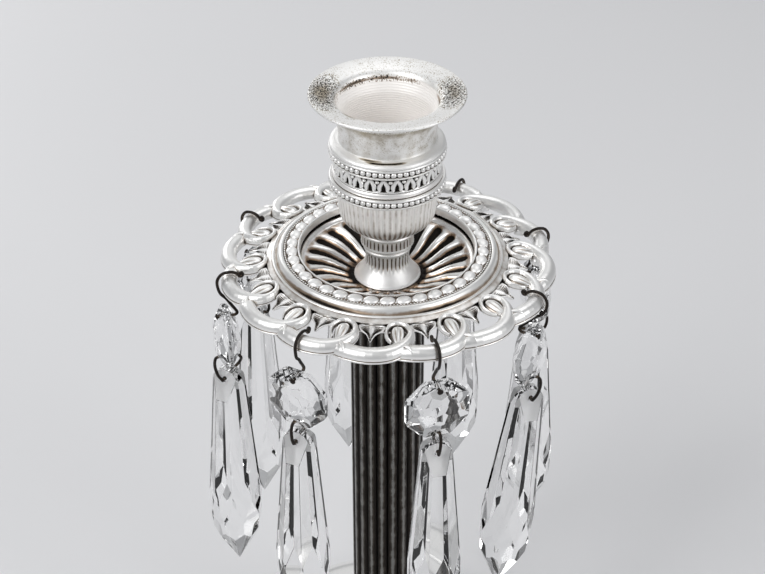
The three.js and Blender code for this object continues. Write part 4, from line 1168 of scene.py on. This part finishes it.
for vert in leaf.verts:
    vert[groove] *= WEB_DARKNESS
for face in leaf.faces:
    face.material_index = 1
join(link, leaf)

links = all_round(link, LINKS, FIRST_VOLUTE)
ring_top = rim_foot - 0.02
border = turned([
    (28.0, ring_top), (31.2, ring_top, 0.2), (31.8, ring_top - 0.6, 0.2),
    (31.4, ring_top - 1.2, 0.2), (28.0, ring_top - 1.2),
])
finish("scroll_links", join(border, links), cast, "scroll_border", smooth=60, subdivide=1,
       second=plump)

# %% [markdown]
# ## The column, its capital and the foot
# The column is a reeded tube that the pan keeps in its own shadow. That shadow is painted
# into its colour, far darker than the rest of the silver, and the crests of its reeds are
# painted light as its only highlights. A bundle of rods would leave gaps where two of them
# meet, so it is turned plain and pressed by the same kind of rule as the bowl.

# %% Reed the column
REEDS = 20
REED_DEPTH = 0.8
column_foot, column_top, column_reach = span("column")
column_bore = column_reach - 1.7
column = turned([
    (column_bore, column_foot), (column_reach, column_foot), (column_reach, column_top),
    (column_bore, column_top),
], segments=14 * REEDS)


def reed(degrees, radius, height):
    """A round back, painted light on its crest as a highlight and darkening to black where it
    meets the next one, as painted shade and tarnish.
    """
    if radius < column_reach - 0.5:
        return None
    off_crest = abs(2 * (degrees * REEDS / 360 % 1) - 1)
    return off_crest, REED_DEPTH * (1 - math.sqrt(max(1 - off_crest**2, 0))), 0


# Painted shadow: the column's silver gets a dark colour for the pan's shade over it, and its
# tarnish is darker still.
column_shadow = silver("column_shadow_silver", roughness=0.24, level=0.34, unevenness=0.8,
                color=(0.2, 0.197, 0.188, 1), brown=(0.05, 0.043, 0.036, 1))
finish("reeded_column", pressed(column, reed), column_shadow, "column", smooth=50)

# %% [markdown]
# The capital carries the pan, and a sleeve on the foot takes the column's other end. Both
# are sockets that the column stands in, and both are turned from the usual mouldings for
# such a candlestick, because the photograph hides them.

# %% Turn the capital and the sleeve
capital_foot, capital_top, capital_reach = span("capital")
throat = column_reach + 1.3
socket = column_reach + 0.3  # radius of the sockets that the column stands in
capital = turned([
    (ROD_HOLE, column_top), (socket, column_top), (socket, capital_foot),
    *arc((throat - 0.1, capital_foot + 0.55), 0.55, -90, 90, 6),
    (throat - 0.2, capital_foot + 1.5, 0.1),
    *bezier((throat - 0.1, capital_foot + 1.8), (throat, capital_foot + 4.2),
            (throat + 1.2, capital_top - 3.2), (capital_reach - 0.3, capital_top - 2.5), 8),
    (capital_reach, capital_top - 2.1, 0.15), (capital_reach, capital_top - 1.3, 0.15),
    (9.2, capital_top - 1.3), (9.2, capital_top), (ROD_HOLE, capital_top),
])
finish("turned_capital", capital, cast, "capital")

sleeve_foot, sleeve_top, sleeve_reach = span("socket_collar")
sleeve = turned([
    (ROD_HOLE, sleeve_foot), (sleeve_reach - 0.2, sleeve_foot, 0.1),
    *arc((sleeve_reach - 0.75, sleeve_foot + 1.0), 0.75, -80, 80, 7),
    (sleeve_reach - 1.1, sleeve_foot + 2.1, 0.15),
    *bezier((sleeve_reach - 1.15, sleeve_foot + 2.5), (sleeve_reach - 1.5, sleeve_foot + 3.4),
            (sleeve_reach - 1.5, sleeve_top - 1.9), (sleeve_reach - 1.15, sleeve_top - 1.2), 6),
    (sleeve_reach - 0.75, sleeve_top - 0.7, 0.2), (sleeve_reach - 1.0, sleeve_top - 0.1, 0.2),
    (socket, sleeve_top), (socket, column_foot), (ROD_HOLE, column_foot),
])
finish("turned_sleeve", sleeve, cast, "socket_collar")

# %% [markdown]
# The foot is a dome spun from sheet, with a step, and a moulded ring soldered to its edge.
# Only its far edge shows in the photograph, and it is bright there, so it is polished. The
# dome has an inside wall too, as seen when the stick is picked up.

# %% Spin the foot
dome_foot, dome_top, dome_reach = span("base_dome")
DOME_FLAT, DOME_STEP = 13.0, 26.0  # radii of the flat top and of the step
DOME_SHEET = 1.1
step_height = dome_foot + 9.6
flare = ((DOME_FLAT + 0.2, dome_top - 1.6), (DOME_FLAT + 1.0, step_height + 4.0),
         (DOME_STEP - 6.0, step_height + 0.4), (DOME_STEP - 1.2, step_height + 0.1))
outside = [
    (DOME_FLAT, dome_top, 0.2), (DOME_FLAT + 0.1, dome_top - 1.2, 0.2), *bezier(*flare, 14),
    (DOME_STEP - 0.3, step_height + 0.2, 0.2), (DOME_STEP + 0.15, step_height - 0.3, 0.2),
    (DOME_STEP, step_height - 0.9, 0.15),
    *bezier((DOME_STEP + 0.5, step_height - 1.1), (dome_reach - 7.0, step_height - 1.2),
            (dome_reach - 1.5, dome_foot + 5.0), (dome_reach - 0.6, dome_foot + 1.1), 14),
    (dome_reach, dome_foot + 0.5, 0.15), (dome_reach, dome_foot),
]
inside = [(r - DOME_SHEET, z - DOME_SHEET) for r, z in bezier(*flare, 8)]
dome = turned([
    (ROD_HOLE, dome_top), *outside, (dome_reach - DOME_SHEET, dome_foot),
    (dome_reach - 4.0, dome_foot + 3.5), (DOME_STEP - 1.0, step_height - 2.2),
    *reversed(inside), (DOME_FLAT - DOME_SHEET, dome_top - DOME_SHEET),
    (ROD_HOLE, dome_top - DOME_SHEET),
])
finish("spun_dome", dome, polished, "base_dome")

edge_foot, edge_top, edge_reach = span("foot_ring")
edge = turned([
    (edge_reach - 3.4, edge_foot), (edge_reach - 0.6, edge_foot, 0.1),
    *arc((edge_reach - 1.3, (edge_foot + edge_top) / 2), 1.3, -75, 75, 8),
    (edge_reach - 1.2, edge_top, 0.1), (edge_reach - 3.4, edge_top),
])
finish("moulded_edge", edge, polished, "foot_ring")

# %% [markdown]
# ## The cut crystal
# A lapidary grinds one flat after the next on a wheel, and each flat is one plane through
# the stone. Here the wheel is bisect_plane: it cuts the block and throws the outer side
# away, and the cut is filled to make the facet. Corners moved by hand would never leave
# facets that are truly flat, and cut glass lives on them. The holes are drilled with a
# boolean.

# %% Grind facets and drill holes
HOLE_RADIUS = 0.75
DRILL_LENGTH = 10
ARRIS = 0.07  # width of the bevel that takes the sharpness off an edge


def grind(bm, place, normal):
    """Cuts one flat facet. What lies on the normal's side goes."""
    geometry = bm.verts[:] + bm.edges[:] + bm.faces[:]
    cut = bmesh.ops.bisect_plane(bm, geom=geometry, dist=1e-5, plane_co=place,
                                 plane_no=normal, clear_outer=True)["geom_cut"]
    rim_edges = [part for part in cut if isinstance(part, bmesh.types.BMEdge)]
    if len(rim_edges) > 2:
        bmesh.ops.edgeloop_fill(bm, edges=rim_edges)


def grind_round(bm, half, slope, first, axis="Z", height=0.0, sign=1):
    """Eight facets round an axis, half from it at a height, leaning out by a slope."""
    for i in range(8):
        angle = math.radians(first + 45 * i)
        out = Vector((math.cos(angle), math.sin(angle), 0))
        normal, place = out + Vector((0, 0, slope * sign)), out * half + Vector((0, 0, height))
        if axis == "Y":
            normal, place = normal.xzy, place.xzy
        grind(bm, place, normal)


def block(across, high, middle):
    bm = bmesh.new()
    bmesh.ops.create_cube(bm, size=1)
    bmesh.ops.scale(bm, vec=(across, across, high), verts=bm.verts[:])
    bmesh.ops.translate(bm, vec=middle, verts=bm.verts[:])
    return bm


def drilled(bm, *heights):
    """Drills holes along Y at some heights, and gives back a new bmesh."""
    stone, bit = (bpy.data.objects.new(label, bpy.data.meshes.new(label)) for label in ("s", "b"))
    drill = bmesh.new()
    for height in heights:
        lying = Matrix.Translation((0, 0, height)) @ Matrix.Rotation(math.pi / 2, 4, "X")
        bmesh.ops.create_cone(drill, cap_ends=True, segments=20, radius1=HOLE_RADIUS,
                              radius2=HOLE_RADIUS, depth=DRILL_LENGTH, matrix=lying)
    for shape, thing in ((bm, stone), (drill, bit)):
        bmesh.ops.recalc_face_normals(shape, faces=shape.faces[:])
        shape.to_mesh(thing.data)
        shape.free()
        bpy.context.scene.collection.objects.link(thing)
    cutter = stone.modifiers.new("drill", "BOOLEAN")
    cutter.operation, cutter.solver, cutter.object = "DIFFERENCE", "EXACT", bit
    bpy.context.view_layer.update()
    result = bmesh.new()
    result.from_mesh(stone.evaluated_get(bpy.context.evaluated_depsgraph_get()).to_mesh())
    for thing in (stone, bit):
        bpy.data.objects.remove(thing)
    return result


def arrised(bm):
    """Takes the sharpness off every edge of a stone."""
    bm.normal_update()
    edges = [e for e in bm.edges if e.is_manifold and e.calc_face_angle() > math.radians(8)]
    bmesh.ops.bevel(bm, geom=edges, offset=ARRIS, offset_type="OFFSET", segments=1,
                    profile=0.5, affect="EDGES", material=-1)
    return bm


print("drill:", 2 * HOLE_RADIUS, "mm")

# %% [markdown]
# The octagon has eight sides with blunted corners. Each of its two faces has a flat table,
# eight small facets round it, and eight broad ones that slope to the sides. An eight-sided
# disc would be a shorter start, but one helper that grinds eight facets round an axis cuts
# all of them from a plain block, and serves the prism too.

# %% Cut the octagon
STONE_HALF_WIDTH, STONE_HALF_THICKNESS = 8.0, 3.25
STONE_CORNER = 8.42  # half width across the blunted corners
GIRDLE_HALF, BROAD_SLOPE = 0.6, 1.62
TABLE_HALF, TABLE_DEPTH, TABLE_SLOPE = 5.3, 2.5, 3.2  # of the small facets round the table
STONE_HOLE = 6.2  # from the middle
HALF_STEP = 22.5  # degrees from a side of an octagon to its corner
octagon = block(20, 20, (0, 0, 0))
grind(octagon, (0, STONE_HALF_THICKNESS, 0), (0, 1, 0))
grind(octagon, (0, -STONE_HALF_THICKNESS, 0), (0, -1, 0))
grind_round(octagon, STONE_HALF_WIDTH, 0, 0, axis="Y")
grind_round(octagon, STONE_CORNER, 0, HALF_STEP, axis="Y")
for side in (-1, 1):
    grind_round(octagon, STONE_HALF_WIDTH, BROAD_SLOPE, 0, "Y", GIRDLE_HALF * side, side)
    grind_round(octagon, TABLE_HALF, TABLE_SLOPE, HALF_STEP, "Y", TABLE_DEPTH * side, side)
octagon = drilled(arrised(octagon), -STONE_HOLE, STONE_HOLE)
print("octagon:", len(octagon.faces), "facets")

# %% [markdown]
# The prism is an eight-sided drop that widens downwards, with narrow facets on its corners
# and a blunt point. Two sloping flats make the tab at its head, and a fan of cuts rounds it.
# It is ground hanging from its head, and then moved up until the place of the hole lies in
# the origin, where the joint takes hold of it. Only then is it drilled.

# %% Cut the prism
PRISM_LENGTH, PRISM_WIDEST = 65.0, 43.0
HEAD_HALF, WIDEST_HALF = 3.6, 6.7
POINT_HEIGHT = 13.0
CORNER_HALF, CORNER_DOWN, CORNER_SLOPE = 7.27, 37.0, 0.085  # of the facets on the corners
TAB_HALF, TAB_SLOPE = 1.4, 19  # half thickness at the head, and degrees
TAB_HOLE = 2.3  # from the head
widening = (WIDEST_HALF - HEAD_HALF) / PRISM_WIDEST
point_slope = 0.93 * WIDEST_HALF / POINT_HEIGHT
prism = block(20, 80, (0, 0, -38))
grind_round(prism, HEAD_HALF, widening, 0)
grind_round(prism, CORNER_HALF + CORNER_SLOPE * CORNER_DOWN, -CORNER_SLOPE, HALF_STEP)
grind_round(prism, point_slope * PRISM_LENGTH, -point_slope, 0)
for side in (-1, 1):
    grind(prism, (0, side * TAB_HALF, 0), (0, side, math.tan(math.radians(TAB_SLOPE))))
arch_radius = HEAD_HALF + 0.25
for degrees in range(10, 180, 20):
    out = Vector((math.cos(math.radians(degrees)), 0, math.sin(math.radians(degrees))))
    grind(prism, Vector((0, 0, -arch_radius)) + arch_radius * out, out)
bmesh.ops.translate(prism, vec=(0, 0, TAB_HOLE), verts=prism.verts[:])
prism = drilled(arrised(prism), 0)
flat_slope = Vector((0, math.cos(math.radians(TAB_SLOPE)), math.sin(math.radians(TAB_SLOPE))))
prism.normal_update()
for face in prism.faces:
    leaning = Vector((0, abs(face.normal.y), face.normal.z))
    on_tab = face.calc_center_median().z > TAB_HOLE - 2.2 * arch_radius
    face.material_index = int(on_tab and leaning.dot(flat_slope) > 0.998)
print("prism:", len(prism.faces), "facets")

# %% [markdown]
# Crystal is clear all through, so its look is all refraction, with faint smudges where it
# is handled. A see-through alpha would render faster, but it doesn't bend light, and bent
# light is what sparkles. The flats of a prism's tab are only ground, not polished, so they
# are a second finish. The wire is the same old silver, tarnished nearly black.

# %% Crystal and wire finishes
CRYSTAL_IOR = 1.56


def crystal(name, roughness, clearness=1.0):
    material = plain_material(name, (1, 1, 1, 1), roughness)
    shader = material.node_tree.nodes["Principled BSDF"]
    shader.inputs["Transmission Weight"].default_value = clearness
    shader.inputs["IOR"].default_value = CRYSTAL_IOR
    tree = material.node_tree
    smudges = remap(tree, noise_node(tree, 150, 3), 0.55, 0.8, roughness, roughness + 0.06)
    tree.links.new(smudges, shader.inputs["Roughness"])
    return material


clear_crystal = crystal("clear_crystal", 0.0)
ground_crystal = crystal("ground_crystal", 0.4, 0.6)
dark_wire = silver("dark_wire", roughness=0.5, level=0.6, color=(0.035, 0.03, 0.027, 1))
print("finishes in all:", len(bpy.data.materials))

# %% [markdown]
# ## The strings of crystal
# The hooks and links are bent from one round wire, and the stones are threaded on them. A
# wire bends in every direction, so its section must not twist on the way: the upward side
# of one station is carried on to the next and only set square to the wire again.

# %% Bend wires and place stones
WIRE_RADIUS = 0.4


def wire(points):
    """A round wire along a curve, its section carried from station to station untwisted."""
    line = smooth_path(points, 4)
    stations, up = [], Vector((0, 0, 1))
    for place, ahead in zip(line, headings(line)):
        ahead.normalize()
        if abs(ahead.dot(up)) > 0.95:
            up = Vector((ahead.y, ahead.z, ahead.x))
        up = (up - ahead * ahead.dot(up)).normalized()
        stations.append(frame_at(place, ahead, up, WIRE_RADIUS, WIRE_RADIUS))
    return swept(round_section(10), stations)


def placed(bm, place, outward):
    """A copy of a stone with its hole's axis (Y) turned inwards at a place."""
    copy = bm.copy()
    turn = math.atan2(outward.x, -outward.y)
    bmesh.ops.rotate(copy, verts=copy.verts[:], cent=(0, 0, 0),
                     matrix=Matrix.Rotation(turn, 3, "Z"))
    bmesh.ops.translate(copy, vec=place, verts=copy.verts[:])
    return copy


joints = {joint["name"]: joint for joint in frame["joints"]}

# %% [markdown]
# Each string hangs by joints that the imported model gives: the hook turns on its arm, the
# octagon on the hook's end and the prism on the wire link, a closed ring through the holes
# of both. Every piece is placed by its joint and rides on its own body, so it swings with
# it. One string copied round the axis would be shorter to write, but the real ones don't
# hang alike.

# %% Hang the strings
WIRE_GAP = 0.3
HOOK_WIDE = ARM_HALF_WIDTH + WIRE_GAP + WIRE_RADIUS  # from the arm's middle to the wire's
HOOK_HIGH = ARM_HALF_HEIGHT + WIRE_GAP + WIRE_RADIUS
BEHIND = 3.05  # from the stone's middle to the hook's wire behind it
KNOB_RADIUS = 0.8  # of the flattened end of the hook's wire
FACET_SMOOTH = 2  # degrees, so that each facet keeps its edges
LEANING = {"c": 6}  # degrees that a prism hangs askew on its wire
HOOK_PATH = [  # outwards, upwards, and the share of the bend that carries the stone out
    (-1.0, 0.7, 0), (-1.13, 0.82, 0), (-1.27, 0.66, 0), (-1.18, 0.42, 0), (-0.98, 0.42, 0),
    (-0.86, 0.62, 0), (-0.52, 0.92, 0), (0.0, 1.03, 0), (0.62, 0.85, 0),
    (1.02, 0.2, 0), (1.02, -0.6, 0), (0.7, -1.4, 0.2), (0.1, -2.0, 0.5),
]
HOOK_END = [  # outwards as a share of BEHIND, upwards from the stone's hole, share of the bend
    (-0.35, 3.6, 0.75), (-0.85, 1.7, 1), (-1.0, 0.6, 1), (-0.7, 0.0, 1), (0.0, 0.0, 1),
    (0.72, 0.0, 1),
]

for letter in "abcdefgh":
    hook_joint, stone_joint, prism_joint = (
        joints[f"{kind}_{letter}_{move}"] for kind, move in
        (("hook", "swing"), ("octagon", "sway"), ("prism", "sway")))
    arm, upper, lower = (Vector(j["pos_m"]) / MM for j in (hook_joint, stone_joint, prism_joint))
    outward, facing = Vector(stone_joint["axis"]), Vector(prism_joint["axis"])
    up = Vector((0, 0, 1))
    bend = (upper - arm) * Vector((1, 1, 0))
    hook_line = [arm + outward * (out * HOOK_WIDE) + up * (rise * HOOK_HIGH) + bend * share
                 for out, rise, share in HOOK_PATH]
    hook_line += [upper + outward * (out * BEHIND) + up * rise + bend * (share - 1)
                  for out, rise, share in HOOK_END]
    knob = bead(KNOB_RADIUS, (0, 0, 0), 14, 8)
    bmesh.ops.scale(knob, vec=(1, 0.45, 1), verts=knob.verts[:])
    hook = join(wire(hook_line), placed(knob, upper + outward * 2.15, outward))
    knob.free()
    finish(f"wire_hook_{letter}", hook, dark_wire, f"hook_{letter}",
           f"hook_{letter}_body")

    middle = upper - up * STONE_HOLE
    finish(f"stone_{letter}", placed(octagon, middle, outward), clear_crystal,
           f"octagon_{letter}", f"octagon_{letter}_body", smooth=FACET_SMOOTH)

    hung = prism.copy()
    bmesh.ops.rotate(hung, verts=hung.verts[:], cent=(0, 0, 0),
                     matrix=Matrix.Rotation(math.radians(LEANING.get(letter, 0)), 3, "Y"))
    finish(f"drop_{letter}", placed(hung, lower, facing), clear_crystal, f"prism_{letter}",
           f"prism_{letter}_body", smooth=FACET_SMOOTH, second=ground_crystal)
    hung.free()

    turn = outward.xy.angle_signed(facing.xy)
    rise = upper.z - 2 * STONE_HOLE - lower.z
    tab = TAB_HALF + TAB_HOLE * math.tan(math.radians(TAB_SLOPE)) + WIRE_RADIUS
    leg = [  # out from the middle, up from the prism's hole, share of the turn between the holes
        (2.5, rise, 0), (tab + 0.7, rise - 0.8, 0.05), (tab + 1.1, 0.62 * rise, 0.35),
        (tab + 1.1, 0.3 * rise, 0.7), (tab + 0.7, 0.5, 0.97), (tab + 0.2, 0, 1),
    ]
    inner_leg = [(-out, height, share) for out, height, share in leg]
    ring = [(0, rise, 0), *inner_leg, (0, 0, 1), *reversed(leg), (0, rise, 0)]
    link_line = []
    for out, height, share in ring:
        way = outward.copy()
        way.rotate(Matrix.Rotation(-turn * share, 3, "Z"))
        link_line.append(lower + way * out + up * height)
    finish(f"wire_link_{letter}", wire(link_line), dark_wire, f"link_{letter}",
           f"octagon_{letter}_body")
octagon.free()
prism.free()

# %% [markdown]
# ## The hidden pieces
# The rod, its nuts, the washer, the closing plate and the felt under the foot are as the
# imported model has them. They could be replaced too, but their plain turned shapes are right
# already, so they only need a finish.

# %% Finish the pieces that stay as they are
steel = silver("turned_steel", roughness=0.32, color=(0.45, 0.45, 0.46, 1))
FELT_GREEN = (0.05, 0.12, 0.07, 1)
FELT_DARK, FELT_LIGHT = (0.03, 0.08, 0.045, 1), (0.075, 0.16, 0.1, 1)
felt = plain_material("green_felt", FELT_GREEN, 0.95)
fibres = noise_node(felt.node_tree, 1500, 5, 0.75)
felt_shader = felt.node_tree.nodes["Principled BSDF"]
fuzz = felt.node_tree.nodes.new("ShaderNodeBump")
fuzz.inputs["Distance"].default_value = 0.3 * MM
green = mix_color(felt.node_tree, fibres, FELT_DARK, FELT_LIGHT)
wire_up(felt.node_tree, (green, felt_shader.inputs["Base Color"]),
        (fibres, fuzz.inputs["Height"]), (fuzz.outputs["Normal"], felt_shader.inputs["Normal"]))
fittings = ("tie_rod", "clamp_washer", "base_nut", "cup_nut", "base_plate")
for node, material in (*[(node, steel) for node in fittings], ("felt_pad", felt)):
    mesh = frame["nodes"][node].data
    mesh.materials.clear()
    mesh.materials.append(material)
print(len(fittings), "fittings and the felt finished")

# %% [markdown]
# ## The end
# The boxes of the imported model and of the dressed one are printed.

# %% End the script
size = {"cad": [list(corner) for corner in cad_box],
        "visual": [list(corner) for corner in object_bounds()]}
print("size", size)
